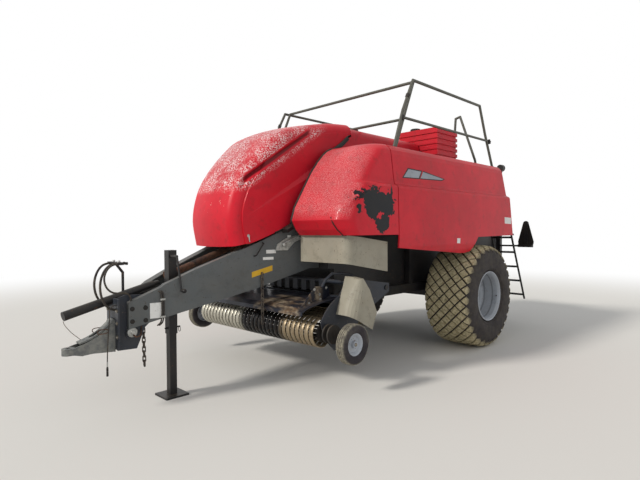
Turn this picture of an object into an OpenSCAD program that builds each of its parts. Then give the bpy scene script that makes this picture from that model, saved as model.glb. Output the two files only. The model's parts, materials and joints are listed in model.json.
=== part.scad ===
/* [Running gear] */
// Radius of a main tyre over its lugs, which is also the height of the axle
tyre_r = 735; // [700:1:760]
// Width of a main tyre
tyre_w = 710; // [600:1:720]
// Distance from the machine's middle plane to a main tyre's middle plane
track_half = 1180; // [1175:1:1260]
// Radius of a main rim's flange
rim_r = 356; // [300:1:400]
// Radius of a wheel spindle
spindle_r = 50; // [35:1:60]
// Radius of a gauge tyre
gauge_r = 210; // [150:1:230]
// Width of a gauge tyre
gauge_w = 120; // [80:1:130]
// Radius of a gauge rim's flange
gauge_rim_r = 115; // [80:1:140]

/* [Bale chamber] */
// Width of a bale
bale_w = 1200; // [1000:1:1220]
// Height of a bale
bale_h = 900; // [700:1:920]
// Height of the chamber floor above the ground
floor_z = 960; // [940:1:980]
// Thickness of the chamber walls
wall_t = 30; // [15:1:40]
// Distance from the axle back to the chamber's rear end
chamber_rear = 2200; // [1900:1:2260]
// Distance from the axle forward to the chamber's front end
chamber_front = 2300; // [2000:1:2400]

/* [Drawbar] */
// Length of the hitch casting ahead of the drawbar's front plate
clevis_len = 450; // [400:1:520]
// Distance from the chamber's rear end back to the folded chute's face
chute_stand = 240; // [205:1:300]
// Thickness of a drawbar beam's box
beam_t = 90; // [70:1:95]
// Wall of a drawbar beam
beam_wall = 12; // [8:1:16]
// Radius of the hitch pin's hole
hitch_hole_r = 20.5; // [15:0.5:26]
// Width of the jack's outer tube
jack_w = 90; // [80:1:100]
// Travel of the jack's leg
jack_travel = 380; // [200:1:420]

/* [Body panels] */
// Height of the deck's top face
deck_z = 2640; // [2600:1:2650]
// Half the width between the upper edges of the side doors
door_top_y = 1268; // [1250:1:1280]
// Thickness of a side door
door_t = 20; // [12:1:30]
// Thickness of the moulded hoods
skin_t = 8; // [5:1:12]
// Gap between neighbouring panels
panel_gap = 12; // [8:1:20]
// Diameter of the handrail tube
rail_d = 38; // [30:1:45]
// Height of the handrails above the ground
rail_top_z = 3560; // [3400:1:3700]

/* [Pickup] */
// Distance from the axle forward to the pickup's centre line
pickup_x = 3000; // [2960:1:3040]
// Height of the pickup's centre line when it is raised
pickup_z = 610; // [590:1:640]
// Radius of the pickup's bands
band_r = 155; // [140:1:165]
// Half the width over all bands
bands_half = 1080; // [900:1:1090]
// Number of bands
band_count = 30; // [16:1:32]
// Radius that the tine tips turn in
tine_r = 172; // [165:1:200]

/* [Hidden] */

red = [0.70, 0.04, 0.06];
grey = [0.36, 0.37, 0.36];
pale_grey = [0.55, 0.54, 0.50];
dark = [0.10, 0.10, 0.11];
rubber = [0.07, 0.07, 0.07];
steel = [0.62, 0.62, 0.62];
rust = [0.36, 0.22, 0.15];

// The front ends of the drawbar beams, and the plate that closes them
beam_front = [4680, 160];
hitch_front = beam_front[0] + 90;
front_reach = hitch_front + clevis_len;
rear_reach = chamber_rear + chute_stand;
// The axle's place on the ground is the frame in which every module draws
shift_x = -(front_reach - rear_reach) / 2;
eps = 0.01;
run_fit = 0.05;
seat = 0.3;

// Points on an arc from angle a0 to a1
function arc(c, r, a0, a1, n) = [for (i = [0:n]) let(a = a0 + (a1 - a0) * i / n) c + r * [cos(a), sin(a)]];
function lerp(a, b, f) = a + (b - a) * f;
function clamp(v, lo, hi) = min(max(v, lo), hi);
function rev(v) = [for (i = [len(v) - 1:-1:0]) v[i]];
function unit(v) = v / norm(v);
function left_of(v) = [-v[1], v[0]];
// Length of a line of points up to point k
function run_length(pts, k) = k <= 0 ? 0 : run_length(pts, k - 1) + norm(pts[k] - pts[k - 1]);
// The point at a share f of the length of a line of points
function along(pts, f) =
  let(lengths = [for (k = [0:len(pts) - 1]) run_length(pts, k)],
      d = clamp(f, 0, 1) * lengths[len(pts) - 1],
      k = max([for (i = [0:len(pts) - 2]) lengths[i] <= d ? i : 0]))
  lerp(pts[k], pts[k + 1], (d - lengths[k]) / (lengths[k + 1] - lengths[k]));
// Value at z in a table of [z, value] rows
function table_at(rows, z) =
  let(k = max([for (i = [0:len(rows) - 2]) rows[i][0] <= z ? i : 0]),
      f = clamp((z - rows[k][0]) / (rows[k + 1][0] - rows[k][0]), 0, 1))
  lerp(rows[k][1], rows[k + 1][1], f);
// A curve from a to b that bulges to the left of that way by d
function bow(a, b, d, n) = [for (i = [0:n]) let(f = i / n) lerp(a, b, f) + 4 * d * f * (1 - f) * left_of(unit(b - a))];
// A line of points turned into a strip of thickness t to its left
function strip(pts, t) =
  let(n = len(pts),
      side = [for (i = [0:n - 1])
        unit(left_of(unit(pts[min(i + 1, n - 1)] - pts[max(i - 1, 0)])))])
  concat(pts, rev([for (i = [0:n - 1]) pts[i] + t * side[i]]));

// A round bar between two points
module bar(p, q, d, fn = 24) {
  v = q - p;
  translate(p) rotate([0, acos(v[2] / norm(v)), atan2(v[1], v[0])]) cylinder(d = d, h = norm(v), $fn = fn);
}
// A bent tube through points, with round corners
module tube(pts, d) {
  for (i = [0:len(pts) - 2]) bar(pts[i], pts[i + 1], d);
  for (p = [for (i = [1:len(pts) - 2]) pts[i]]) translate(p) sphere(d = d + 1, $fn = 24);
}
// An outline in the XZ plane that reaches from y0 to y1
module plate_xz(pts, y0, y1) {
  translate([0, y1, 0]) rotate([90, 0, 0]) linear_extrude(y1 - y0) polygon(pts);
}
// An outline in the YZ plane that reaches from x0 to x1
module plate_yz(pts, x0, x1) {
  translate([x0, 0, 0]) rotate([90, 0, 90]) linear_extrude(x1 - x0) polygon(pts);
}
module box(lo, hi) {
  translate(lo) cube(hi - lo);
}
module mirrored(side) {
  if (side > 0) children();
  else mirror([0, 1, 0]) children();
}
module both() {
  children();
  mirror([0, 1, 0]) children();
}
// A cylinder about an axis along Y
module drum(x, z, r, y0, y1, fn = 64) {
  translate([x, y1, z]) rotate([90, 0, 0]) cylinder(r = r, h = y1 - y0, $fn = fn);
}
// A shell between two grids of points of the same size
module shell(outer, inner) {
  rows = len(outer);
  cols = len(outer[0]);
  n = rows * cols;
  points = concat([for (r = outer) each r], [for (r = inner) each r]);
  skin = [for (j = [0:rows - 2], i = [0:cols - 2])
    let(a = j * cols + i, b = a + 1, c = a + cols + 1, d = a + cols) each [[a, b, c], [a, c, d]]];
  back = [for (f = skin) [f[2] + n, f[1] + n, f[0] + n]];
  rim = concat([for (i = [0:cols - 1]) i], [for (j = [1:rows - 1]) j * cols + cols - 1],
    [for (i = [cols - 2:-1:0]) (rows - 1) * cols + i], [for (j = [rows - 2:-1:1]) j * cols]);
  edge = [for (k = [0:len(rim) - 1]) let(a = rim[k], b = rim[(k + 1) % len(rim)])
    each [[b, a, a + n], [b, a + n, b + n]]];
  polyhedron(points, concat(skin, back, edge));
}
// A hose swept along a route, as rings across the route's direction
module hose(route, d, sides = 8) {
  m = len(route);
  dirs = [for (i = [0:m - 1]) unit(route[min(i + 1, m - 1)] - route[max(i - 1, 0)])];
  rings = [for (i = [0:m - 1])
    let(u = unit(cross(dirs[i], [0, 1, 0.02])), w = cross(dirs[i], u))
    each [for (k = [0:sides - 1]) route[i] + d / 2 * (cos(360 * k / sides) * u + sin(360 * k / sides) * w)]];
  polyhedron(rings, concat(
    [[for (k = [0:sides - 1]) k]],
    [for (i = [0:m - 2], k = [0:sides - 1])
      let(a = i * sides + k, b = i * sides + (k + 1) % sides) each [[a, a + sides, b], [b, a + sides, b + sides]]],
    [[for (k = [sides - 1:-1:0]) (m - 1) * sides + k]]));
}
// Points between the named points of a route, on a smooth curve
function smooth_route(pts, n) =
  let(m = len(pts), at = function(i) pts[clamp(i, 0, m - 1)])
  concat([for (i = [0:m - 2], k = [0:n - 1])
    let(f = k / n, p0 = at(i - 1), p1 = at(i), p2 = at(i + 1), p3 = at(i + 2))
    0.5 * (2 * p1 + (p2 - p0) * f + (2 * p0 - 5 * p1 + 4 * p2 - p3) * f * f
      + (3 * p1 - p0 - 3 * p2 + p3) * f * f * f)], [pts[m - 1]]);

// Chassis: an axle, two rails beside the chamber, posts and cross members
rail_y0 = bale_w / 2 + wall_t + 20;
rail_w = 80;
rail_z1 = floor_z - wall_t;
rail_h = 120;
post_x = [-900, 850, 2420];
rail_rear = chamber_rear - 60;
rear_post_x = -rail_rear + 40;
rail_front = post_x[2] + 40;
axle_box = 150;
spindle_end = track_half + 45;
deck_t = 40;
deck_under = deck_z - deck_t;
deck_half = door_top_y - 28;
front_post_x = post_x[2];
front_post_drop = 50;
cross_face = front_post_x + 140;

module axle() {
  end = track_half - tyre_w / 2 - 40;
  box([-axle_box / 2, -end, tyre_r - axle_box / 2], [axle_box / 2, end, tyre_r + axle_box / 2]);
  both() drum(0, tyre_r, spindle_r, end - 10, spindle_end);
}

module post(x, z1) {
  both() box([x - 40, rail_y0, rail_z1 - eps], [x + 40, rail_y0 + rail_w, z1]);
}
module chassis() {
  color(dark) {
    both() box([-rail_rear, rail_y0, rail_z1 - rail_h], [rail_front, rail_y0 + rail_w, rail_z1]);
    for (x = post_x) {
      top = x == front_post_x ? deck_under - front_post_drop : deck_under;
      post(x, top);
      box([x - 40, -deck_half + 20, top - 80], [x + 40, deck_half - 20, top]);
    }
    post(rear_post_x, floor_z + bale_h + 100);
    both() box([-rail_rear, rail_y0, floor_z + bale_h + 60], [post_x[0], rail_y0 + rail_w, floor_z + bale_h + 140]);
    for (x = [rear_post_x, rail_front - 60])
      box([x - 40, -rail_y0 - eps, rail_z1 - rail_h], [x + 40, rail_y0 + eps, rail_z1 - seat]);
    for (x = [-300, 120])
      box([x, -rail_y0 - eps, rail_z1 - rail_h], [x + 180, rail_y0 + eps, rail_z1 - seat]);
    both() box([-100, rail_y0 - 120, tyre_r + axle_box / 2], [100, rail_y0 + rail_w, rail_z1 - rail_h + eps]);
    cross_front();
    axle();
    both() pickup_pivot();
  }
}
// The front cross member that carries the drawbar and the gearbox
module cross_front() {
  for (z = [[1240, 1400], [1560, 1640]])
    box([front_post_x + 40 - eps, -rail_y0 - rail_w, z[0]], [cross_face, rail_y0 + rail_w, z[1]]);
}

// The stub that carries the pickup's arm, on a bracket above the rail
module pickup_pivot() {
  box([pivot_x - 60, rail_y0, rail_z1 - eps], [pivot_x + 60, rail_y0 + rail_w, pivot_z + 60]);
  drum(pivot_x, pivot_z, pivot_r, rail_y0 + rail_w - eps, arm_y + arm_t + 12, 48);
}

chute_hinge_x = -chamber_rear - 60;
chute_hinge_z = floor_z - wall_t - 60;
chute_pin_r = 15;
chute_lug_y = 515;
module bale_chamber() {
  half = bale_w / 2;
  top = floor_z + bale_h;
  color(dark) {
    difference() {
      box([-chamber_rear, -half - wall_t, floor_z - wall_t], [chamber_front, half + wall_t, top + wall_t]);
      box([-chamber_rear - 1, -half, floor_z], [chamber_front - wall_t, half, top]);
    }
    for (x = [-1700, -1150]) chamber_yoke(x);
    feed_duct();
    both() difference() {
      plate_xz([[-chamber_rear + eps, floor_z - wall_t + eps], [-rail_rear - 5, floor_z - wall_t + eps],
        [chute_hinge_x + 20, chute_hinge_z - 30], [chute_hinge_x - 30, chute_hinge_z - 30],
        [chute_hinge_x - 30, chute_hinge_z + 30], [-chamber_rear + eps, chute_hinge_z + 40]],
        chute_lug_y, chute_lug_y + 15);
      drum(chute_hinge_x, chute_hinge_z, chute_pin_r + run_fit, chute_lug_y - 1, chute_lug_y + 16, 32);
    }
  }
}
// A frame round the chamber that presses its sides together
yoke_w = 110;
yoke_h = 60;
module chamber_yoke(x) {
  half = bale_w / 2 + wall_t;
  top = floor_z + bale_h + wall_t;
  box([x, -half + 60, top - eps], [x + yoke_w, half - 60, top + yoke_h]);
  for (s = [-1, 1]) drum(x + yoke_w / 2 + s * 26, top + yoke_h + 20, 24, -half + 110, half - 110, 32);
  for (y = [-half + 80, half - 110]) box([x, y, top + yoke_h - eps], [x + yoke_w, y + 30, top + yoke_h + 60]);
}
// The curved duct that leads the crop from the pickup up into the chamber
duct_front = 2330;
duct_rear = 1480;
duct_half = 590;
duct_low = 575;
duct_t = 10;
module feed_duct() {
  under = floor_z - wall_t + eps;
  floor_line = bow([duct_front, duct_low], [duct_rear, under], 60, 10);
  plate_xz(strip(floor_line, -duct_t), -duct_half, duct_half);
  both() plate_xz(concat(floor_line, [[duct_front, under]]), duct_half, duct_half + duct_t);
}

module plunger() {
  half = bale_w / 2 - 12;
  color(steel) difference() {
    box([1300, -half, floor_z + seat], [1850, half, floor_z + bale_h - 12]);
    for (i = [-2:2]) box([1299, i * 200 - 20, floor_z + 60], [1340, i * 200 + 20, floor_z + bale_h - 60]);
  }
}

// Driveline: one axis from the hanger bearing on the drawbar up to the gearbox
drive_tilt = 19;
hanger_x = 4220;
hanger_z = 1213;
drive_y = -60;
function on_drive(x) = [x, drive_y, hanger_z + (hanger_x - x) * tan(drive_tilt)];
flywheel_x = 3200;
flywheel_r = 280;
flywheel_t = 80;
drive_shaft_r = 38;
gearbox_front = 2960;
yoke_r = 54;
module along_drive(x) {
  translate(on_drive(x)) rotate([0, 90 + drive_tilt - 180, 0]) children();
}
module flywheel() {
  color(rust) {
    along_drive(hanger_x - 30) cylinder(r = drive_shaft_r, h = (hanger_x - 30 - gearbox_front + 20) / cos(drive_tilt), $fn = 48);
    along_drive(flywheel_x + 40) cylinder(r = flywheel_r, h = flywheel_t, $fn = 96);
    along_drive(flywheel_x + 110) cylinder(r = 95, h = 90, $fn = 48);
    along_drive(hanger_x - 30) cylinder(r = yoke_r, h = 60, $fn = 48);
  }
}
module gearbox() {
  color(dark) difference() {
    union() {
      drive_hanger();
      box([cross_face, -290, 1420], [gearbox_front - 70, 290, 2230]);
      along_drive(gearbox_front + 40) cylinder(r = 110, h = 240, $fn = 48);
    }
    along_drive(gearbox_front + 60) cylinder(r = drive_shaft_r + run_fit, h = 140, $fn = 48);
    along_drive(bearing_x + 10) cylinder(r = drive_shaft_r + run_fit, h = 60, $fn = 48);
  }
}
// The bearing that carries the shaft's front end, on a plate from the right beam's web
bearing_x = 4110;
module drive_hanger() {
  web = beam_web_y(bearing_x - 4) - seat;
  along_drive(bearing_x) cylinder(r = yoke_r, h = 30, $fn = 48);
  box([bearing_x - 24, -web, 1180], [bearing_x - 4, drive_y, 1240]);
}

// Drawbar: rows of [distance back from the beam's front end, top height, bottom height]
beam_rows = [[0, 1020, 770], [300, 1145, 838], [345, 1175, 848], [690, 1320, 920], [1375, 1570, 1070],
  [1830, 1765, 1195], [1905, 1760, 1215], [2030, 1640, 1250], [2200, 1640, 1250]];
beam_angle = 11.1;
function beam_outline(t) = concat(
  [for (r = beam_rows) [-r[0] + (r == beam_rows[0] ? -t : 0), r[1] - t]],
  rev([for (r = beam_rows) [-r[0] + (r == beam_rows[0] ? -t : 0), r[2] + t]]));
// Places children in a beam's own frame: X forward along it, Y outward from its outer face
module on_beam() {
  translate([beam_front[0], beam_front[1], 0]) rotate([0, 0, -beam_angle]) children();
}
beam_holes = [[-30, 965], [-150, 972], [-30, 842], [-150, 848]];
module drawbar_beam() {
  color(grey) difference() {
    on_beam() difference() {
      plate_xz(beam_outline(0), -beam_t, 0);
      plate_xz(beam_outline(beam_wall), -beam_t - 1, -beam_wall);
      for (h = beam_holes) drum(h[0], h[1], 14, -beam_t, 1, 32);
    }
    // The rear end is cut to the face of the front cross member
    box([2300, 300, 1100], [cross_face + seat, 800, 1800]);
  }
}
module drawbar_left() { drawbar_beam(); }
module drawbar_right() { mirror([0, 1, 0]) drawbar_beam(); }

function beam_outer_y(x) = beam_front[1] + (beam_front[0] - x) * tan(beam_angle);
function beam_web_y(x) = beam_outer_y(x) - beam_wall / cos(beam_angle);
function beam_inner_y(x) = beam_outer_y(x) - beam_t / cos(beam_angle);
hitch_plate = 130;
hitch_back = 4440;
hitch_t = 16;
module hitch_block() {
  // The side plate's outline in the beam's own frame
  plate = [[-245, 1080], [20, 1085], [86, 1060], [86, 560], [-90, 560], [-170, 760], [-245, 830]];
  back_half = beam_inner_y(hitch_back) - 8;
  color(dark) difference() {
    union() {
      both() on_beam() plate_xz(plate, -beam_t - hitch_t - seat, -beam_t - seat);
      box([hitch_front - hitch_t, -hitch_plate, 580], [hitch_front, hitch_plate, 1060]);
      box([hitch_back, -back_half, 900], [hitch_back + hitch_t, back_half, 1010]);
      both() on_beam() drum(-30, 715, 45, -beam_t - seat - 5, -beam_t + 30, 32);
    }
    bar(pto_back, pto_tip, pto_d + 2 * seat, 32);
  }
}

clevis_tip = front_reach;
clevis_pin_x = front_reach - 55;
module hitch_clevis() {
  x0 = hitch_front;
  side = concat(bow([x0, 860], [clevis_tip - 90, 655], -34, 8),
    [[clevis_tip - 50, 640], [clevis_tip - 50, 600]], bow([x0 + 300, 572], [x0, 560], -10, 4));
  color(pale_grey) difference() {
    union() {
      both() plate_xz(side, 46, 62);
      both() plate_xz([[x0, 560], [clevis_tip - 60, 592], [clevis_tip - 60, 610], [x0, 580]], -eps, 62);
      hull() {
        translate([clevis_pin_x, 0, 592]) cylinder(r = 55, h = 26, $fn = 48);
        translate([clevis_pin_x - 160, 0, 592]) cylinder(r = 61, h = 18, $fn = 48);
      }
      translate([clevis_pin_x, 0, 590]) cylinder(r = 55, h = 60, $fn = 64);
      plate_xz(strip(bow([x0, 861], [clevis_tip - 140, 678], -30, 8), 14), -50, 50);
      plate_xz([[x0, 560], [x0 + 14, 560], [x0 + 14, 855], [x0, 855]], -62, 62);
    }
    translate([clevis_pin_x, 0, 500]) cylinder(r = hitch_hole_r, h = 200, $fn = 64);
    hull() {
      translate([x0 + 130, 0, 700]) cylinder(r = 28, h = 150, $fn = 32);
      translate([x0 + 190, 0, 700]) cylinder(r = 28, h = 150, $fn = 32);
    }
  }
}

jack_x = 4190;
jack_y = 45;
jack_top = 1500;
jack_wall = 7;
jack_leg_w = jack_w - 2 * jack_wall - 1;
jack_sleeve_low = 640;
foot_r = 125;
crank_y = beam_outer_y(jack_x + 20) + 48;
module jack_sleeve() {
  w = jack_w / 2;
  color(dark) translate([jack_x, jack_y, 0]) {
    difference() {
      box([-w, -w, jack_sleeve_low], [w, w, jack_top]);
      box([-w + jack_wall, -w + jack_wall, jack_sleeve_low - 1], [w - jack_wall, w - jack_wall, jack_top - 12]);
    }
    for (z = [1000, 1120]) box([-w, w - eps, z], [w, beam_web_y(jack_x + w) - jack_y - seat, z + 12]);
    bar([20, w - eps, 1440], [20, w + 130, 1440], 26);
    bar([20, w + 125, 1452], [20, crank_y - jack_y, 1100], 20);
    bar([20, crank_y - jack_y - 8, 1105], [20, crank_y - jack_y + 60, 1105], 26);
  }
}
module jack_leg() {
  w = jack_leg_w / 2;
  color(dark) translate([jack_x, jack_y, 0]) {
    difference() {
      box([-w, -w, 20 - eps], [w, w, jack_top - jack_travel - 20]);
      box([-w + 6, -w + 6, 40], [w - 6, w - 6, jack_top]);
    }
    box([-foot_r, -foot_r, 0], [foot_r, foot_r, 20]);
  }
}

pto_d = 85;
pto_tip = [front_reach - 15, 0, 940];
pto_back = [4330, drive_y, 1150];
module pto_shaft() {
  dir = unit(pto_tip - pto_back);
  color(dark) {
    bar(pto_back, pto_tip, pto_d, 32);
    bar(pto_back - 60 * dir, pto_back + eps * dir, 60, 32);
  }
}

rack_x = 4620;
// Height of a beam's top edge at a distance from the axle
function beam_top(x) = table_at([for (r = beam_rows) [r[0] * cos(beam_angle), r[1]]], beam_front[0] - x);
rack_head = [4720, 1391];
rack_half = 130;
module hose_rack() {
  color(dark) {
    tube([[rack_x, -rack_half + 20, beam_top(rack_x) + 6], [rack_x, -rack_half + 20, 1290], [rack_x + 60, -rack_half + 20, 1370],
      [rack_head[0] + 10, -rack_half + 20, rack_head[1]]], 26);
    box([rack_head[0], -rack_half, rack_head[1] - 13], [rack_head[0] + 40, rack_half, rack_head[1] + 13]);
  }
}
route_a = [[4758, -82, 1391], [4817, -82, 1376], [4862, -82, 1332], [4892, -82, 1266], [4903, -82, 1188],
  [4892, -82, 1110], [4862, -82, 1044], [4817, -82, 1000], [4768, -82, 985]];
route_b = [[4758, 60, 1391], [4817, 60, 1374], [4862, 60, 1327], [4892, 60, 1257], [4903, 60, 1173],
  [4892, 60, 1089], [4862, 60, 1018], [4817, 60, 971], [4768, 60, 955]];
route_c = [[4758, 118, 1391], [4810, 118, 1380], [4850, 118, 1351], [4877, 118, 1306], [4887, 118, 1253],
  [4877, 118, 1200], [4850, 118, 1155], [4810, 118, 1126], [4762, 118, 1115], [4720, 118, 1115],
  [4689, 118, 1109], [4663, 118, 1092], [4646, 118, 1066], [4640, 118, 1035]];
route_cable = [[4768, 92, 1000], [4782, 92, 1000], [4801, 92, 996], [4817, 92, 985], [4828, 92, 969], [4832, 92, 950],
  [4833, 92, 925], [4835, 92, 885], [4839, 92, 825], [4846, 92, 740], [4853, 92, 640], [4858, 92, 540],
  [4860, 92, 440]];
plug_d = 20;
plug_len = 90;
module hose_a() { color(rubber) hose(smooth_route(route_a, 2), 22); }
module hose_b() { color(rubber) hose(smooth_route(route_b, 2), 22); }
module hose_c() { color(rubber) hose(smooth_route(route_c, 2), 18); }
// The cable hangs down to its plug
module cable() {
  color(rubber) hose(smooth_route(route_cable, 2), 10);
  color(dark) translate(route_cable[len(route_cable) - 1] - [0, 0, plug_len + seat]) cylinder(d = plug_d, h = plug_len, $fn = 32);
}

// Chain link: a flat ring with eight-sided ends
link_d = 12;
link_len = 64;
link_w = 28;
module link_outline(r) {
  reach = (link_len - link_w) / 2;
  corner_r = r / cos(22.5);
  polygon(concat(arc([reach, 0], corner_r, -67.5, 67.5, 3), arc([-reach, 0], corner_r, 112.5, 247.5, 3)));
}
module link() {
  translate([0, 0, -link_d / 2]) linear_extrude(link_d) difference() {
    link_outline((link_w + link_d) / 2);
    link_outline((link_w - link_d) / 2);
  }
}
// The slanted corners at the ends of two neighbouring eyes face each other across a small clearance
link_eye = (link_w - link_d) / 2;
link_pitch = link_len - link_d - 2 * (link_d / 2 - link_eye * tan(22.5)) - seat;
module chain(from, to) {
  v = to - from;
  n = floor(norm(v) / link_pitch);
  translate(from) rotate([0, acos(v[2] / norm(v)), atan2(v[1], v[0])])
    for (i = [0:n - 1]) translate([0, 0, (i + 0.5) * link_pitch]) rotate([0, -90, 90 * (i % 2)]) link();
}
link_half = (link_w + link_d) / 2;
chain_x = 4500;
chain_y = beam_outer_y(chain_x + link_d / 2) - (beam_t + hitch_t + seat) / cos(beam_angle) - link_half - seat;
lift_chain_x = 3315;
lift_chain_y = beam_outer_y(lift_chain_x - link_d / 2) + link_half + seat;
module chains() {
  color(rust) {
    chain([chain_x, chain_y, 880], [chain_x - 10, chain_y, 330]);
    chain([lift_chain_x, lift_chain_y, 1225], [lift_chain_x, lift_chain_y, 640]);
  }
}

// Nose hood: a crown line in the middle plane, and the line where each side ends
nose_crown = [[3680, 1520], [3730, 1800], [3690, 2060], [3580, 2300], [3330, 2600], [2990, 2870], [2400, 3030],
  [2000, 3070]];
nose_edge = [[3490, 1555], [3380, 1590], [3100, 1700], [2970, 1770], [2880, 1980], [2750, 2160], [2620, 2380],
  [2500, 2540], [2380, 2640], [2180, 2770], [2060, 2870], [2000, 2905]];
nose_steps = 18;
nose_round = 130;
nose_camber = 25;
function nose_half(x) = 440 + (3650 - x) * 0.1;
ledge_tip = [3540, 1840];
ledge_upper = [2500, 2510];
ledge_lower = [2500, 2430];
ledge_depth = 45;
function line_z(a, b, x) = a[1] + (b[1] - a[1]) * (x - a[0]) / (b[0] - a[0]);
function ledge_out(p) =
  p[0] > ledge_tip[0] ? 0 :
  let(zu = line_z(ledge_tip, ledge_upper, p[0]), zl = line_z(ledge_tip, ledge_lower, p[0]),
      deep = ledge_depth * clamp((ledge_tip[0] - p[0]) / 1000, 0, 1))
  deep * clamp((zu - p[1]) / max(zu - zl, 1), 0, 1);
// Share of the line from s to e at which it meets the line from a to b
function meet(s, e, a, b) =
  let(n = left_of(b - a), den = n * (e - s)) abs(den) < 1 ? 0.5 : (n * (a - s)) / den;
nose_turn = [0, 15, 30, 45, 60, 75, 90];
function nose_row(f, t) =
  let(p = along(nose_crown, f),
      d = unit(along(nose_crown, min(f + 0.04, 1)) - along(nose_crown, max(f - 0.04, 0))),
      n = [d[1], -d[0]],
      e = along(nose_edge, f),
      s = p - n * (nose_camber + nose_round),
      w = nose_half(p[0]),
      flat = w - nose_round,
      upper = clamp(meet(s, e, ledge_tip, ledge_upper), 0.2, 0.75),
      lower = clamp(meet(s, e, ledge_tip, ledge_lower), upper + 0.04, 0.9),
      place = function(q, y) [q[0], y, q[1]])
  concat(
    [for (k = [0:3]) place(p - n * (nose_camber * k * k / 16 + t), flat * k / 4)],
    [for (a = nose_turn) place(p - n * (nose_camber + nose_round - (nose_round - t) * cos(a)),
      flat + (nose_round - t) * sin(a))],
    [for (v = [upper / 2, upper, lower, (lower + 1) / 2, 1])
      let(q = lerp(s, e, v)) place(q, nose_half(q[0]) + ledge_out(q) - t)]);
function nose_full(f, t) = let(r = nose_row(f, t))
  concat(rev([for (p = r) if (p[1] > 0) [p[0], -p[1], p[2]]]), r);
module nose_hood() {
  color(red) shell(
    [for (j = [0:nose_steps]) nose_full(j / nose_steps, 0)],
    [for (j = [0:nose_steps]) nose_full(j / nose_steps, skin_t)]);
}

centre_half = 600;
centre_top = 3030;
centre_rear = 440;
module centre_hood() {
  r = 110;
  outer = concat([[centre_half, deck_z]], arc([centre_half - r, centre_top - 30 - r], r, 0, 75, 6), [[0, centre_top]]);
  full = concat(outer, rev([for (p = outer) if (p[0] > 0) [-p[0], p[1]]]));
  side = [[centre_rear, deck_z - 1], [2370, deck_z - 1], [2180, 2745], [2060, 2845], [1985, 2880], [1985, 3200],
    [centre_rear, 3200]];
  color(red) intersection() {
    plate_yz(strip(full, skin_t), centre_rear, 2400);
    plate_xz(side, -700, 700);
  }
}

// Section of a side door and of the corner panels: rows of [height, distance from the middle]
side_rows = [[1375, 1400], [1430, 1430], [1500, 1450], [1600, 1455], [2170, 1443], [2192, 1435], [2215, 1392],
  [2235, 1385], [2560, 1345], [2610, 1333], [2645, 1306], [2665, 1285], [2672, door_top_y]];
side_points = [for (r = side_rows) [r[1], r[0]]];
door_front = 2150;
door_outline = [[door_front, 1490], [600, 1370], [430, 1390], [260, 1590], [-900, 1600], [-740, 2680],
  [door_front, 2680]];
module side_door() {
  color(red) difference() {
    intersection() {
      plate_yz(strip(side_points, door_t), -1000, door_front);
      plate_xz(door_outline, 1000, 1600);
    }
    for (x = hinge_eye_x) translate([x - 72, hinge_y, hinge_z]) rotate([0, 90, 0]) cylinder(r = 16, h = 144, $fn = 32);
  }
  color(red) for (x = hinge_eye_x) hinge_eye(x);
}
hinge_y = door_top_y - 13;
hinge_z = deck_z + 15;
hinge_pin_r = 8;
hinge_eye_x = [-560, 700, 2040];
module hinge_eye(x) {
  difference() {
    union() {
      translate([x - 30, hinge_y, hinge_z]) rotate([0, 90, 0]) cylinder(r = 14, h = 60, $fn = 32);
      box([x - 30, hinge_y, hinge_z - 3], [x + 30, door_top_y + 12, hinge_z + 8]);
    }
    translate([x - 31, hinge_y, hinge_z]) rotate([0, 90, 0]) cylinder(r = hinge_pin_r + run_fit, h = 62, $fn = 32);
  }
}
// What the deck holds of a door's hinge: the pin and its blocks
module hinge_pin(x) {
  translate([x - 60, hinge_y, hinge_z]) rotate([0, 90, 0]) cylinder(r = hinge_pin_r, h = 120, $fn = 32);
  for (s = [-1, 1]) box([x + s * 50 - 15, deck_half - 30, deck_z - eps], [x + s * 50 + 15, hinge_y + 4, hinge_z + 9]);
}
module door_left() { side_door(); }
module door_right() { mirror([0, 1, 0]) side_door(); }

// Corner panel: rows of [height, front face, radius of the corner in plan]
corner_rows = [[1640, 2950, 130], [1700, 3010, 150], [1800, 3070, 170], [1950, 3020, 190], [2100, 2925, 210],
  [2170, 2880, 220], [2192, 2865, 220], [2215, 2850, 225], [2235, 2838, 230], [2350, 2765, 250],
  [2480, 2660, 270], [2580, 2560, 280], [2630, 2495, 280], [2660, 2430, 255], [2672, 2360, 190]];
corner_inner_y = 628;
corner_rear = door_front + panel_gap;
function side_at(z) = table_at(side_rows, z);
// The corner panel's side runs straight between its rows
function corner_side_at(z) = table_at([for (r = corner_rows) [r[0], side_at(r[0])]], z);
function corner_row(r, t) =
  let(z = r[0], xf = r[1], rad = r[2], ys = side_at(z))
  concat(
    [[xf - 60, corner_inner_y + t, z], [xf - 20 - t * 0.7, corner_inner_y + 20 + t * 0.3, z]],
    [for (k = [0:4]) [xf - t, lerp(corner_inner_y + 70, ys - rad, k / 4), z]],
    [for (a = [15:15:75]) [xf - rad + (rad - t) * cos(a), ys - rad + (rad - t) * sin(a), z]],
    [for (k = [0:4]) [lerp(xf - rad, corner_rear, k / 4), ys - t, z]]);
module corner_panel() {
  color(red) shell([for (r = rev(corner_rows)) corner_row(r, 0)], [for (r = rev(corner_rows)) corner_row(r, skin_t)]);
}
module corner_panels() { both() corner_panel(); }

shield_front = 2910;
shield_rear = 2230;
shield_y = 1345;
module shields() {
  r = 90;
  plan = concat([[shield_front, 640], [shield_front, shield_y - r]],
    arc([shield_front - r, shield_y - r], r, 15, 75, 4), [[shield_front - r, shield_y], [shield_rear, shield_y]]);
  side = [[shield_rear - 1, 1225], [shield_front + 1, 1345], [shield_front + 1, 1640], [2700, 1620],
    [shield_rear - 1, 1560]];
  color(pale_grey) both() intersection() {
    translate([0, 0, 1100]) linear_extrude(600) polygon(strip(plan, 10));
    plate_xz(side, 500, 1500);
  }
}

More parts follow.
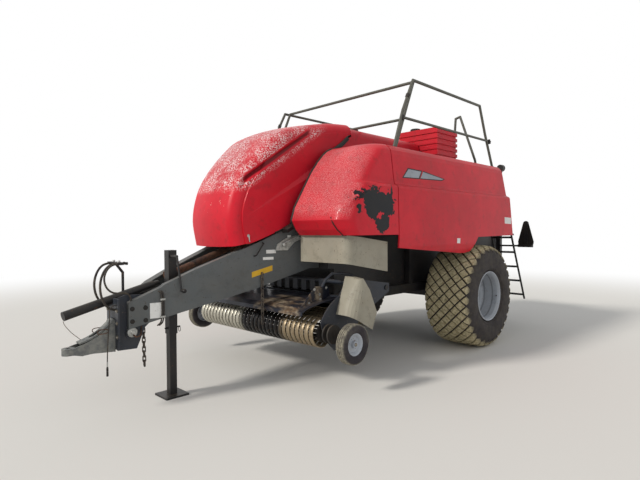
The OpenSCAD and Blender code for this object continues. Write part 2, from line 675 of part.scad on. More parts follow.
twine_rear = -680;
twine_front = 2060;
twine_low = 1630;
twine_high = 2450;
twine_in = rail_y0 + rail_w + seat;
twine_out = 1325;
twine_cols = 3;
twine_t = 8;
module twine_box() {
  cell = (twine_front - twine_rear - twine_t) / twine_cols;
  mid = (twine_low + twine_high) / 2;
  color(dark) difference() {
    box([twine_rear, twine_in, twine_low], [twine_front, twine_out, twine_high]);
    for (i = [0:twine_cols - 1], z = [[twine_low + twine_t, mid - twine_t / 2], [mid + twine_t / 2, twine_high - twine_t]])
      box([twine_rear + twine_t + i * cell, twine_in + twine_t, z[0]],
        [twine_rear + (i + 1) * cell, twine_out + 1, z[1]]);
  }
}
module twine_boxes() { both() twine_box(); }

deck_rear = 940;
deck_front = 2330;
module deck() {
  color(dark) {
    difference() {
      box([-deck_rear, -deck_half, deck_under], [deck_front, deck_half, deck_z]);
      box([centre_rear + 100, -centre_half + 60, deck_under - 1], [deck_front + 1, centre_half - 60, deck_z + 1]);
    }
    both() for (x = hinge_eye_x) hinge_pin(x);
      both() box([2180, deck_half - eps, deck_under], [2220, corner_side_at(deck_under + 12) - skin_t - seat, deck_under + 12]);
  }
}

tank_x = [-160, 420];
tank_y = [200, 900];
tank_top = 3200;
module tank() {
  ribs = 5;
  step = (tank_top - deck_z - 160) / ribs;
  color(red) {
    box([tank_x[0] + 15, tank_y[0] + 15, deck_z], [tank_x[1] - 15, tank_y[1] - 15, tank_top]);
    for (i = [0:ribs - 1])
      box([tank_x[0], tank_y[0], deck_z + 160 + i * step], [tank_x[1], tank_y[1], deck_z + 160 + (i + 0.6) * step]);
  }
}

module rear_panel() {
  color(red) box([-deck_rear - 8, -deck_half + 10, 2000], [-deck_rear, deck_half - 10, deck_z]);
}

rail_y = deck_half - 30;
rail_mid_z = 3060;
// Side loops: rows of [along, height] from the front foot over the top to the rear foot
rail_bend_z = rail_mid_z + 90;
rail_loop = [[1920, deck_z], [1730, rail_bend_z], [1510, rail_top_z], [-270, rail_top_z], [-450, rail_bend_z],
  [-700, deck_z]];
// A socket on the deck that a rail's foot stands in
foot_h = 45;
module rail_foot(x, y) {
  translate([x, y, deck_z + seat]) cylinder(d = rail_d + 14, h = foot_h, $fn = 24);
}
module side_rail() {
  pts = [for (p = rail_loop) [p[0], rail_y, max(p[1], deck_z + foot_h / 2)]];
  for (p = [pts[0], pts[5]]) rail_foot(p[0], rail_y);
  tube(pts, rail_d);
  f = (rail_mid_z - deck_z) / (rail_bend_z - deck_z);
  bar(lerp(pts[0], pts[1], f), lerp(pts[5], pts[4], f), rail_d - 4);
}
front_rail_x = 1440;
front_rail_y = rail_y - rail_d - 6;
front_rail_run = 400;
module front_rail() {
  y = front_rail_y;
  mid = [front_rail_x + front_rail_run * (rail_top_z - rail_mid_z) / (rail_top_z - deck_z), y, rail_mid_z];
  foot_z = deck_z + foot_h / 2;
  tube([[front_rail_x + front_rail_run, y, foot_z], [front_rail_x, y, rail_top_z], [front_rail_x, -y, rail_top_z],
    [front_rail_x + front_rail_run, -y, foot_z]], rail_d);
  both() rail_foot(front_rail_x + front_rail_run, y);
  bar(mid, [mid[0], -y, mid[2]], rail_d - 4);
}
module rear_rail() {
  foot_z = deck_z + foot_h / 2;
  tube([[-620, 560, foot_z], [-620, 620, rail_top_z - 40], [-620, 700, rail_top_z - 20], [-620, 960, 2800],
    [-620, 980, foot_z]], rail_d);
  for (y = [560, 980]) rail_foot(-620, y);
}
module handrails() {
  color(dark) {
    both() side_rail();
    front_rail();
    rear_rail();
  }
}

ladder_y = [850, 1200];
ladder_up_y = [800, 1130];
ladder_up_x = -deck_rear - 8 - 16 - seat;
module ladder() {
  color(dark) {
    for (y = ladder_y) bar([-1430, y, 1620], [-2000, y, 460], 32);
    for (f = [0.06:0.22:0.95]) bar([lerp(-1430, -2000, f), ladder_y[0], lerp(1620, 460, f)],
      [lerp(-1430, -2000, f), ladder_y[1], lerp(1620, 460, f)], 26);
    box([-1500, rail_y0 + rail_w, 1590], [post_x[0] - 40 - seat, 1220, 1620]);
    for (y = ladder_up_y) bar([ladder_up_x, y, 1610], [ladder_up_x, y, deck_under], 32);
    for (z = [1850:250:2500]) bar([ladder_up_x, ladder_up_y[0], z], [ladder_up_x, ladder_up_y[1], z], 26);
  }
}

lamp_x = rear_post_x;
module rear_lights() {
  color(dark) both() {
    translate([-1000, 1200, 2690]) rotate([0, -90, 0]) cylinder(r = 55, h = 70, $fn = 32);
    box([-1040, 1180, deck_z - 30], [-deck_rear - 8 - seat, 1220, 2660]);
    box([lamp_x - 40, 1040, 1370], [lamp_x, 1300, 1420]);
    box([lamp_x - eps, rail_y0 + rail_w + seat, 1380], [lamp_x + 40, 1290, 1410]);
  }
  color(dark) {
    plate_yz([[1060, 1430], [1300, 1430], [1200, 1840], [1160, 1840]], lamp_x - 16, lamp_x - 12);
    box([lamp_x - 12 - eps, 1150, 1400], [lamp_x, 1210, 1700]);
  }
}

chute_len = 900;
module bale_chute() {
  color(dark) {
    for (i = [-3:3]) box([-rear_reach, i * 180 - 25, chute_hinge_z], [-rear_reach + 50, i * 180 + 25, chute_hinge_z + chute_len]);
    for (z = [0, chute_len / 2, chute_len - 50])
      box([-rear_reach, -600, chute_hinge_z + z], [-rear_reach + 50, 600, chute_hinge_z + z + 50]);
    both() {
      box([-rear_reach + 40, 480, chute_hinge_z - 25], [chute_hinge_x + 20, 510, chute_hinge_z + 25]);
      drum(chute_hinge_x, chute_hinge_z, chute_pin_r, 510 - eps, chute_lug_y + 24, 32);
    }
  }
}

// Main wheels
bead = 22;
module tyre() {
  half = tyre_w / 2;
  profile = [[rim_r - bead, half - 75], [rim_r + 14, half - 55], [rim_r + 75, half - 5], [tyre_r - 170, half],
    [tyre_r - 42, half - 40], [tyre_r, half - 115]];
  full = concat(profile, rev([for (p = profile) [p[0], -p[1]]]));
  color(rubber) translate([0, track_half, tyre_r]) rotate([90, 0, 0]) rotate_extrude($fn = 96) polygon(full);
}
module tyre_left() { tyre(); }
module tyre_right() { mirror([0, 1, 0]) tyre(); }
hub_r = 105;
module rim() {
  half = tyre_w / 2;
  barrel = rim_r - bead - seat;
  bore = spindle_r + run_fit;
  // Rows of [radius, distance outward from the wheel's middle plane]
  section = [[barrel, 74 - half], [barrel, half - 74], [rim_r - 2, half - 52], [rim_r, half - 40],
    [rim_r - 6, half - 35], [rim_r - 16, half - 38], [rim_r - 34, half - 75], [rim_r - 46, 90],
    [rim_r - 60, 62], [180, 20], [170, 14], [hub_r, 14], [hub_r, 60], [bore, 60], [bore, -70], [hub_r, -70],
    [hub_r, 0], [174, 0], [rim_r - 62, 46], [barrel - 10, 74], [barrel - 10, 74 - half]];
  color(steel) translate([0, track_half, tyre_r]) rotate([90, 0, 0]) rotate_extrude($fn = 96)
    polygon([for (p = section) [p[0], -p[1]]]);
}
module rim_left() { rim(); }
module rim_right() { mirror([0, 1, 0]) rim(); }

// Pickup, raised; it turns about a shaft under the front of the chamber
pivot_x = 1950;
pivot_z = 1000;
pivot_r = 30;
arm_y = bands_half + 20;
arm_t = 12;
gauge_y = arm_y + 317;
gauge_x = pickup_x - 80;
gauge_z = pickup_z - 80;
cross_tube_x = pickup_x - 380;
cross_tube_z = pickup_z + 500;
cross_tube_d = 50;
module pickup_frame() {
  px = pickup_x;
  pz = pickup_z;
  // A side arm: back along the top from the reel's end plate, round the pivot and forward below
  arm = concat(bow([px - 140, pz - 210], [px + 70, pz + 115], -35, 6), bow([px + 70, pz + 115], [px - 215, pz + 370], -35, 6),
    [[px - 330, pz + 528], [px - 560, pz + 525], [pivot_x - 60, pivot_z + 50], [pivot_x - 60, pivot_z - 50]],
    bow([px - 560, pz + 90], [px - 300, pz - 175], -30, 5));
  color(dark) {
    both() difference() {
      plate_xz(arm, arm_y, arm_y + arm_t);
      drum(pivot_x, pivot_z, pivot_r + run_fit, arm_y - 1, arm_y + arm_t + 1, 48);
      drum(reel_x, pickup_z, reel_shaft_r + run_fit, arm_y - 1, arm_y + arm_t + 1, 48);
    }
    box([px - 500, -arm_y - eps, pz + 250], [px - 440, arm_y + eps, pz + 330]);
    drum(cross_tube_x, cross_tube_z, cross_tube_d / 2, -arm_y - eps, arm_y + eps, 32);
    for (k = [0:10]) finger(-840 + 150 * k);
    tube([for (p = hoop) p + [px, arm_y, pz]], 30);
    inner = gauge_y - gauge_w / 2 - 40;
    elbow = [gauge_x - 200, inner, gauge_z + 40];
    both() bar(elbow, [elbow[0], arm_y + 5, elbow[2]], 50);
    both() bar(elbow, [gauge_x, inner, gauge_z], 40);
    both() drum(gauge_x, gauge_z, 19, inner, gauge_y + 40, 48);
  }
}
// A bent tube over the left end, from beside the windguard back to the arm
hoop = [[-95, -138, 465], [-160, -136, 545], [-240, -115, 605], [-355, -50, 605], [-440, -25, 585], [-510, 6, 540],
  [-530, 6, 500]];
// A finger that hangs from the cross tube and strips the crop down
module finger(y) {
  x = cross_tube_x + cross_tube_d / 2;
  box([x - 10, y, pickup_z + 370], [x, y + 80, cross_tube_z]);
}
band_pitch = 2 * bands_half / band_count;
band_w = band_pitch - 16;
band_back = 330;
band_rise = 120;
// A band's outline: round the front of the reel, then back along the top and bottom
function band_outline(r, back) = concat(
  arc([pickup_x, pickup_z], r, -100, 110, 20),
  [[pickup_x - back, pickup_z + band_rise + r * 0.45], [pickup_x - back, pickup_z + band_rise - r * 0.45]]);
module pickup_bands() {
  color(steel) {
    for (i = [0:band_count - 1]) let(y = -bands_half + (i + 0.5) * band_pitch)
      difference() {
        plate_xz(band_outline(band_r, band_back), y - band_w / 2, y + band_w / 2);
        plate_xz(band_outline(band_r - 6, band_back + 20), y - band_w, y + band_w);
      }
    box([pickup_x - band_back - 10, -arm_y + seat, pickup_z + band_rise - band_r * 0.5],
      [pickup_x - band_back + 10, arm_y - seat, pickup_z + band_rise + band_r * 0.5]);
  }
}
reel_x = pickup_x - 10;
reel_bar_r = 90;
tine_t = 6;
disc_r = 100;
reel_shaft_r = 22;
module pickup_reel() {
  reach = arm_y + arm_t + 8;
  color(dark) {
    drum(reel_x, pickup_z, reel_shaft_r, -reach, reach + 110, 48);
    for (a = [45:90:315]) translate([reel_x, 0, pickup_z]) rotate([0, -a, 0]) {
      drum(reel_bar_r, 0, 14, -bands_half, bands_half, 24);
      // The tines stand in the gaps between the bands
      for (i = [1:band_count - 1]) translate([reel_bar_r, -bands_half + i * band_pitch - tine_t / 2, -tine_t / 2])
        cube([tine_r - reel_bar_r, tine_t, tine_t]);
    }
    for (y = [-bands_half + 5, -band_pitch, bands_half - 15]) drum(reel_x, pickup_z, reel_bar_r + 15, y, y + 10, 32);
    // The drive's pulleys outside the left arm
    for (y = [reach + 20, reach + 88]) drum(reel_x, pickup_z, disc_r, y, y + 18, 48);
  }
}
// The windguard: a bent sheet over the bands, on a bracket at each end
guard_line = [[-437, 291], [-300, 325], [0, 305], [190, 268], [262, 235], [272, 200]];
guard_bracket = [[216, 250], [-20, 476], [-220, 467], [-242, 363], [-186, 335], [-129, 305], [84, 290]];
guard_half = arm_y - 60;
bracket_y = arm_y - 170;
module windguard() {
  move = [pickup_x, pickup_z];
  color(dark) {
    plate_xz([for (p = strip(guard_line, 12)) p + move + [seat, 0]], -guard_half, guard_half);
    both() plate_xz([for (p = guard_bracket) p + move], bracket_y, bracket_y + 10);
  }
}
// The drive's shield: rows of [front x, front z, rear x, rear z, corner radius, outer side], from the pickup's centre
shield_table = [[-160, 180, -500, -5, 120, 240], [-200, 290, -580, 180, 120, 240], [-265, 450, -460, 431, 100, 240],
  [-300, 555, -350, 565, 45, 240], [-310, 580, -345, 582, 30, 120]];
drive_skin = 6;
function shield_point(r, x, y) = let(f = (x - r[2]) / (r[0] - r[2])) [pickup_x + x, arm_y + y, pickup_z + lerp(r[3], r[1], f)];
function shield_row(r, t) =
  let(y0 = arm_t + seat, y1 = r[5] - t, xf = r[0] - t, c = [xf - r[4] + t, y1 - r[4] + t], rad = r[4] - t)
  concat([for (k = [0:2]) shield_point(r, xf, lerp(y0, c[1], k / 3))],
    [for (a = [0:18:90]) shield_point(r, c[0] + rad * cos(a), c[1] + rad * sin(a))],
    [for (k = [1:3]) shield_point(r, lerp(c[0], r[2], k / 3), y1)]);
module drive_shield() {
  last = len(shield_table) - 1;
  color(pale_grey) shell([for (r = rev(shield_table)) shield_row(r, 0)],
    [for (i = [last:-1:0]) [for (p = shield_row(shield_table[i], drive_skin)) p - [0, 0, i == last ? drive_skin : 0]]]);
}
module gauge_tyre() {
  half = gauge_w / 2;
  profile = [[gauge_rim_r, half - 22], [gauge_rim_r + 20, half - 3], [gauge_r - 45, half], [gauge_r - 12, half - 12],
    [gauge_r, half - 32]];
  full = concat(profile, rev([for (p = profile) [p[0], -p[1]]]));
  color(rubber) translate([gauge_x, gauge_y, gauge_z]) rotate([90, 0, 0]) rotate_extrude($fn = 64) polygon(full);
}
module gauge_rim() {
  half = gauge_w / 2;
  color(steel) translate([gauge_x, gauge_y, gauge_z]) rotate([90, 0, 0]) rotate_extrude($fn = 64) {
    polygon([[19.05, -40], [34, -40], [34, -8], [80, -8], [98, -half + 30], [gauge_rim_r - 6, -half + 22], [gauge_rim_r - eps, -half + 22],
      [gauge_rim_r - eps, half - 22], [gauge_rim_r - 6, half - 22], [98, half - 60], [80, 0], [34, 0], [34, 40], [19.05, 40]]);
  }
}
module gauge_tyre_left() { gauge_tyre(); }
module gauge_tyre_right() { mirror([0, 1, 0]) gauge_tyre(); }
module gauge_rim_left() { gauge_rim(); }
module gauge_rim_right() { mirror([0, 1, 0]) gauge_rim(); }

module placed() { translate([shift_x, 0, 0]) children(); }
placed() chassis();
placed() bale_chamber();
placed() plunger();
placed() gearbox();
placed() flywheel();
placed() drawbar_left();
placed() drawbar_right();
placed() hitch_block();
placed() hitch_clevis();
placed() jack_sleeve();
placed() jack_leg();
placed() pto_shaft();
placed() hose_rack();
placed() hose_a();
placed() hose_b();
placed() hose_c();
placed() cable();
placed() chains();
placed() nose_hood();
placed() centre_hood();
placed() corner_panels();
placed() door_left();
placed() door_right();
placed() shields();
placed() twine_boxes();
placed() deck();
placed() tank();
placed() rear_panel();
placed() handrails();
placed() ladder();
placed() rear_lights();
placed() bale_chute();
placed() tyre_left();
placed() tyre_right();
placed() rim_left();
placed() rim_right();
placed() pickup_frame();
placed() pickup_bands();
placed() pickup_reel();
placed() windguard();
placed() drive_shield();
placed() gauge_tyre_left();
placed() gauge_tyre_right();
placed() gauge_rim_left();
placed() gauge_rim_right();
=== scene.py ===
"""Looks of the large square baler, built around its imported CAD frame. Lengths are in metres."""
import json
from math import cos, pi, radians, sin, tan

import bmesh
import bpy
from mathutils import Matrix, Vector


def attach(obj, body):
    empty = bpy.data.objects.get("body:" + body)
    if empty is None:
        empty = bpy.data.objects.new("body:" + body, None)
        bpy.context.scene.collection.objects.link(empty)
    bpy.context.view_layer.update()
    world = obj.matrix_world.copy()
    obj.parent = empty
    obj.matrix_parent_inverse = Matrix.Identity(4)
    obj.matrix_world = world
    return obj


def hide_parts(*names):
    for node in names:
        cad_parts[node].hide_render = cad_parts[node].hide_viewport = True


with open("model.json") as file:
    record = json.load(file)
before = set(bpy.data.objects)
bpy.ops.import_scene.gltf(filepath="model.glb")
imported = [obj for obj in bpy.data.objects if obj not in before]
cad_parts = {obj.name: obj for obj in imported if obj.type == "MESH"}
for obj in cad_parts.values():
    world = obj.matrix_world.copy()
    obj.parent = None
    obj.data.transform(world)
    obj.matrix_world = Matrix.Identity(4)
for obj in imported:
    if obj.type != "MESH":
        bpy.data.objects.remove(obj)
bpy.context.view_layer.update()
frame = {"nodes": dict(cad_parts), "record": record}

SHIFT = 1.39  # the axle lies this far behind the frame's origin; the tables below count from the axle
SIDES = (("left", 1), ("right", -1))
TYRE_R, TRACK, AXLE_Z = .735, 1.18, .735
GAUGE_C, GAUGE_R, GAUGE_HALF, GAUGE_RIM = (2.92, 1.417, .53), .21, .06, .115
GROOVE_FALL = .703  # how far the hood's groove comes down for each metre forwards


def at(x, y, z):
    """A point given by its distance ahead of the axle, to the left, and up."""
    return Vector((x - SHIFT, y, z))


def srgb(r, g, b):
    """A linear colour from screen values 0 to 255."""
    return tuple((c / 255 / 12.92 if c <= 10 else ((c / 255 + .055) / 1.055) ** 2.4) for c in (r, g, b)) + (1.0,)


def place(name, data):
    """A new object in the scene."""
    o = bpy.data.objects.new(name, data)
    bpy.context.scene.collection.objects.link(o)
    return o


def lerp(a, b, f):
    return a + (b - a) * f


def clamp(v, lo, hi):
    return max(lo, min(hi, v))


def turn(n, start=0.0):
    """The angles of n even steps round a circle."""
    return [2 * pi * (k + start) / n for k in range(n)]


# Materials. A colour is three screen values from 0 to 255, four linear ones, or a socket
class Nodes:
    """A node tree. Its methods add nodes and return the socket to use next."""

    def __init__(self, tree):
        self.t = tree

    def put(self, socket, v):
        if isinstance(v, bpy.types.NodeSocket):
            self.t.links.new(v, socket)
        else:
            socket.default_value = v

    def add(self, kind, inputs, **settings):
        """A new node with its settings, and its inputs by name or number; returns its outputs."""
        n = self.t.nodes.new("ShaderNode" + kind)
        for k, v in settings.items():
            setattr(n, k, v)
        for k, v in inputs.items():
            self.put(n.inputs[k], v)
        return n.outputs

    def op(self, kind, a, b=0.0, clamp=False):
        return self.add("Math", {0: a, 1: b}, operation=kind, use_clamp=clamp)[0]


class Mat(Nodes):
    """A procedural material."""

    def __init__(self, name, rough=.5, metal=0.0, coat=0.0, specular=.5):
        self.m = bpy.data.materials.new(name)
        self.m.use_nodes = True
        super().__init__(self.m.node_tree)
        self.b = self.t.nodes["Principled BSDF"]
        looks = {"Metallic": metal, "Roughness": rough, "Coat Weight": coat, "Specular IOR Level": specular}
        for k, v in looks.items():
            self.b.inputs[k].default_value = v
        here = self.add("TexCoord", {})
        self.pos, self.normal = here["Object"], here["Normal"]
        self.last_bump = None

    def noise(self, scale, detail, rough, distort=0.0, vec=None):
        return self.add("TexNoise", {"Vector": vec or self.pos, "Scale": scale, "Detail": detail, "Roughness": rough,
                                     "Distortion": distort})["Fac"]

    def times(self, *values):
        out = values[0]
        for v in values[1:]:
            out = self.op("MULTIPLY", out, v)
        return out

    def step(self, x, lo, hi):
        """0 at lo and 1 at hi, smooth between them; lo may be the larger."""
        a, b, low, high = (lo, hi, 0.0, 1.0) if lo < hi else (hi, lo, 1.0, 0.0)
        return self.add("MapRange", {"Value": x, "From Min": a, "From Max": b, "To Min": low, "To Max": high},
                        interpolation_type="SMOOTHSTEP")["Result"]

    def spots(self, scale, detail, rough, lo, hi, **more):
        """Noise that is 0 up to one level and 1 from another on."""
        return self.step(self.noise(scale, detail, rough, **more), lo, hi)

    def part(self, i, vec=None):
        """One coordinate, 0 for X, 1 for Y and 2 for Z."""
        return self.add("SeparateXYZ", {0: vec or self.pos})[i]

    def away(self, i, value):
        """How far one coordinate lies beyond a value."""
        return self.op("SUBTRACT", self.part(i), value)

    def scaled(self, scale, shift=(0, 0, 0)):
        return self.add("Mapping", {"Vector": self.pos, "Location": shift, "Scale": scale})[0]

    def within(self, x=None, y=None, z=None, soft=.02):
        """1 inside a box in the axle frame and 0 outside; soft is the width of its edge."""
        out = 1.0
        for i, span in enumerate((x, y, z)):
            if span:
                shift = SHIFT if i == 0 else 0.0
                lo, hi = span[0] - shift, span[1] - shift
                v = self.part(i)
                out = self.times(out, self.step(v, lo - soft, lo + soft), self.step(v, hi + soft, hi - soft))
        return out

    def mix(self, fac, a, b):
        a, b = (srgb(*c) if isinstance(c, tuple) and len(c) == 3 else c for c in (a, b))
        return self.add("Mix", {"Factor": fac, "A": a, "B": b}, data_type="RGBA")["Result"]

    def colour(self, c):
        self.put(self.b.inputs["Base Color"], c)

    def rough(self, fac, a, b):
        """Roughness between a and b."""
        self.put(self.b.inputs["Roughness"], self.add("Mix", {0: fac, 2: a, 3: b})[0])

    def bump(self, grain, distance, strength):
        """Relief of noise, given by its scale, detail and roughness, over the relief so far."""
        inputs = {"Strength": strength, "Distance": distance, "Height": self.noise(*grain)}
        if self.last_bump:
            inputs["Normal"] = self.last_bump
        self.last_bump = self.add("Bump", inputs)[0]
        self.put(self.b.inputs["Normal"], self.last_bump)


DUST, GRIME = (150, 132, 104), (46, 42, 38)
# The groove's colour is painted shade for the hollow of the hood's groove
FROST, BARE_PATCH, GROOVE_SHADE, CHIP = (232, 226, 224), (8, 11, 18), (70, 8, 16), (200, 190, 176)


def shade(colour, f):
    """The colour with its brightness times f."""
    return tuple(min(1, c * f) for c in srgb(*colour)[:3]) + (1,)


def paint(name, base, rough, dust, chips=0.0, under=(60, 58, 56), coat=0.0, extra=None, shine=.3):
    """Worn paint: uneven colour, dust on what faces up, fine grime, scratches and chips."""
    m = Mat(name, rough, coat=coat, specular=shine)
    c = m.mix(m.spots(1.7, 5, .6, .35, .65), shade(base, .86), shade(base, 1.08))
    c = m.mix(m.times(m.spots(9, 6, .7, .52, .7), .25), c, GRIME)
    streak = m.spots(1.0, 6, .75, .56, .74, vec=m.scaled((34, 34, 1.6)))
    c = m.mix(m.times(streak, .22), c, shade(base, .55))
    if chips:
        c = m.mix(m.spots(34, 7, .75, .66 - .1 * chips, .665 - .1 * chips), c, under)
    if extra:
        c = extra(m, c)
    grains = m.times(m.step(m.part(2, m.normal), .15, .95), m.spots(60, 6, .8, .42, .62))
    sheet = m.times(m.spots(4.0, 5, .65, .3, .75), .45)
    amount = m.op("MULTIPLY", m.op("ADD", grains, sheet), dust, clamp=True)
    m.colour(m.mix(amount, c, DUST))
    m.rough(amount, rough, .85)
    m.bump((260, 3, .6), .0004, .35)
    m.bump((14, 4, .6), .002, .25)
    return m.m


def frost_on_hood(m, c):
    """White specks on the crown and on both sides of the groove, painted shade darkening the groove's line, and small
    chips in front.
    """
    shift = GROOVE_FALL * SHIFT
    rise = m.op("ADD", m.part(2), m.times(m.part(0), GROOVE_FALL))
    place = m.times(m.within((2.4, 3.72), (-.62, .62), (2.14, 3.2), .05), m.step(rise, 4.57 - shift, 4.66 - shift))
    specks = m.times(m.spots(5.0, 4, .6, .28, .6), m.spots(64, 6, .75, .5, .545, distort=.4))
    off_line = m.op("ABSOLUTE", m.op("SUBTRACT", rise, 4.726 - shift))
    along = m.within((2.66, 3.53), None, (2.2, 3.2), .03)
    clear = m.op("SUBTRACT", 1.0, m.times(along, m.step(off_line, .06, .044)))
    c = m.mix(m.times(place, specks, clear, .85), c, FROST)
    # Painted shade: the groove's line is darkened where its hollow lies in shade
    c = m.mix(m.times(along, m.step(off_line, .036, .014), .8), c, GROOVE_SHADE)
    chips = m.spots(26, 5, .7, .655, .665, vec=m.scaled((1, 1, 1), (3.1, 0, 0)))
    return m.mix(m.times(chips, m.within((3.4, 3.76), (-.2, .35), (1.9, 2.3), .05)), c, CHIP)


def radius(m, x, z, half_x=1.0, half_z=1.0):
    """Distance from a place on the side, 1 on an oval about it."""
    dx, dz = m.times(m.away(0, x - SHIFT), 1 / half_x), m.times(m.away(2, z), 1 / half_z)
    return m.op("SQRT", m.op("ADD", m.times(dx, dx), m.times(dz, dz)))


def flake_on_corner(m, c):
    """Fine white specks on the slanted front, and a patch on the left side where the paint has flaked off."""
    front = m.times(m.step(m.part(0, m.normal), .25, .6), m.within((2.2, 3.1), None, (1.85, 2.66), .08))
    c = m.mix(m.times(front, m.spots(150, 5, .75, .5, .56), .3), c, FROST)
    ragged = m.times(m.op("SUBTRACT", m.noise(8.5, 7, .6, .3), .5), 2.6)
    patch = m.op("MINIMUM", radius(m, 2.52, 1.98, .36, .19), radius(m, 2.44, 1.8, .13, .13))
    off = m.times(m.step(m.op("ADD", patch, ragged), .9, .88), m.step(m.part(1), 1.2, 1.3))
    return m.mix(off, c, BARE_PATCH)


def worn_guard(m, c):
    """Straw and bare metal where the crop rubs the sheet on its left."""
    place = m.within((2.9, 3.34), (.26, .98), (.7, 1.14), .06)
    rub = m.spots(3.0, 7, .7, .42, .6, distort=.5, vec=m.scaled((3.0, 1.0, 3.0)))
    return m.mix(m.times(place, rub), c, m.mix(m.spots(9, 6, .7, .4, .62), (96, 76, 58), (150, 136, 116)))


def rim_shade_and_rings(m, c):
    """Painted shade darkening the disc, and two dark rings round the barrel."""
    out = m.op("ABSOLUTE", m.part(1))
    # Painted shade: the disc is darker where it lies deep inside the rim
    c = m.mix(m.times(m.step(out, 1.235, 1.205), m.step(out, .9, 1.02), .62), c, (84, 88, 96))
    # Two dark rings round the barrel
    for run in (1.268, 1.392):
        ring = m.step(m.op("ABSOLUTE", m.op("SUBTRACT", out, run)), .016, .006)
        c = m.mix(m.times(ring, .55), c, (76, 78, 84))
    return c


def rusty(name, base, light, rough, metal):
    """Brown rust over dark steel."""
    m = Mat(name, rough, metal)
    c = m.mix(m.spots(22, 7, .7, .35, .65), base, light)
    m.colour(m.mix(m.spots(6, 5, .6, .5, .7), c, (44, 37, 33)))
    m.bump((120, 6, .75), .0012, .6)
    return m.m


def dusty(name, low, high, pale, deep, amount):
    """Dusty rubber; low and high are the bare rubber's colours, pale and deep the dust's."""
    m = Mat(name, .85, specular=.3)
    base = m.mix(m.spots(7, 6, .65, .3, .7), low, high)
    dust = m.mix(m.spots(30, 6, .7, .35, .65), pale, deep)
    m.colour(m.mix(amount(m), base, dust))
    m.bump((150, 5, .7), .0015, .5)
    return m.m


def rubber(name, dust):
    """Brown-grey rubber with a thin layer of dust."""
    return dusty(name, (42, 39, 42), (58, 54, 56), (150, 139, 108), (112, 103, 82),
                 lambda m: m.op("MULTIPLY", m.spots(11, 7, .7, .25, .7), dust, clamp=True))


def tyre_rubber(name, tread_r, centre_z, centre_x, shoulder, pale, deep):
    """Dust lies on the lugs and fades over the shoulder; the sides stay dark."""
    def amount(m):
        reach = m.step(radius(m, centre_x, centre_z), tread_r - shoulder, tread_r - shoulder * .1)
        on_lugs = m.times(reach, m.spots(11, 7, .7, .16, .5), 1.1)
        return m.op("MINIMUM", m.op("ADD", on_lugs, m.times(m.spots(5, 6, .7, .45, .8), .3)), 1.0)
    return dusty(name, (40, 37, 41), (58, 54, 57), pale, deep, amount)


def worn_steel(name, base, light, metal, low):
    """Bare or plated steel; low is the roughness of its smoothest spots."""
    m = Mat(name, .3, metal)
    m.colour(m.mix(m.spots(18, 6, .7, .4, .65), base, light))
    m.rough(m.noise(40, 5, .7), low, low + .28)
    m.bump((90, 5, .7), .0006, .4)
    return m.m


def band_steel(name):
    """The pickup's bands: bright on the right, black in the middle as a painted shadow of the drawbar and jack,
    straw-coloured on the left.
    """
    m = Mat(name, .4, .55)
    y = m.op("ADD", m.part(1), m.times(m.op("SUBTRACT", m.noise(3.0, 3, .5), .5), .1))
    # Painted shadow: the bands turn black across the middle, where the drawbar and jack cast their shadow
    c = m.mix(m.step(y, -.22, -.14), (176, 172, 158), (24, 24, 26))
    c = m.mix(m.step(y, .5, .64), c, (146, 130, 104))
    m.colour(m.mix(m.times(m.spots(26, 6, .7, .48, .7), .7), c, (84, 70, 56)))
    m.rough(m.noise(30, 5, .7), .28, .6)
    m.bump((110, 5, .7), .0008, .5)
    return m.m


RED = (198, 24, 42)
M = {
    "red": paint("red_paint", RED, .42, .05, coat=.03, shine=.2),
    "hood": paint("red_hood", RED, .4, .03, coat=.03, extra=frost_on_hood, shine=.2),
    "corner": paint("red_corner", RED, .42, .04, coat=.03, extra=flake_on_corner, shine=.2),
    "grey": paint("grey_paint", (88, 92, 93), .5, .18, .25, (60, 42, 32)),
    "pale": paint("pale_grey_paint", (150, 145, 130), .5, .3, .2, (82, 62, 48)),
    "dark": paint("dark_paint", (26, 27, 30), .42, .1, .35, (78, 52, 36)),
    "plate": paint("dark_plate", (44, 50, 60), .4, .15, .3, (96, 88, 78)),
    "guard": paint("guard_sheet", (26, 30, 42), .34, .06, .2, (110, 108, 104), .05, worn_guard),
    "iron": paint("machine_iron", (32, 32, 34), .55, .2, .4, (74, 50, 36)),
    "rail": paint("rail_paint", (84, 84, 76), .45, .1, .4, (60, 50, 40)),
    "silver": paint("rim_silver", (172, 178, 186), .36, .22, .3, (96, 64, 48), extra=rim_shade_and_rings),
    "black": paint("black_trim", (17, 17, 19), .55, .12),
    "white": paint("blank_label", (226, 226, 222), .45, .08, .15, (150, 148, 140)),
    "yellow": paint("yellow_strip", (214, 168, 40), .4, .1, .3, (90, 84, 70)),
    "stripe": paint("grey_stripe", (150, 156, 164), .4, .05),
    "lens_red": paint("red_lens", (150, 16, 18), .15, .05, coat=.6),
    "lens_amber": paint("amber_lens", (214, 110, 24), .15, .05, coat=.6),
    "rust": rusty("rusty_steel", (70, 50, 40), (108, 76, 56), .78, .3),
    "casting": rusty("cast_grey", (96, 98, 98), (128, 128, 122), .6, .2),
    "chain": rusty("chain_iron", (66, 58, 52), (104, 96, 86), .6, .5),
    "rubber": rubber("tyre_side", .12),
    "hose": rubber("hose_rubber", .22),
    "tread": tyre_rubber("tyre_tread", TYRE_R, AXLE_Z, 0.0, .1, (204, 192, 156), (160, 148, 116)),
    "small_tread": tyre_rubber("small_tyre_tread", GAUGE_R, GAUGE_C[2], GAUGE_C[0], .022, (142, 136, 120),
                               (96, 92, 84)),
    "steel": worn_steel("bare_steel", (120, 112, 100), (168, 164, 156), .9, .22),
    "zinc": worn_steel("zinc_plate", (150, 150, 146), (190, 190, 186), .75, .3),
    "band": band_steel("band_steel"),
}
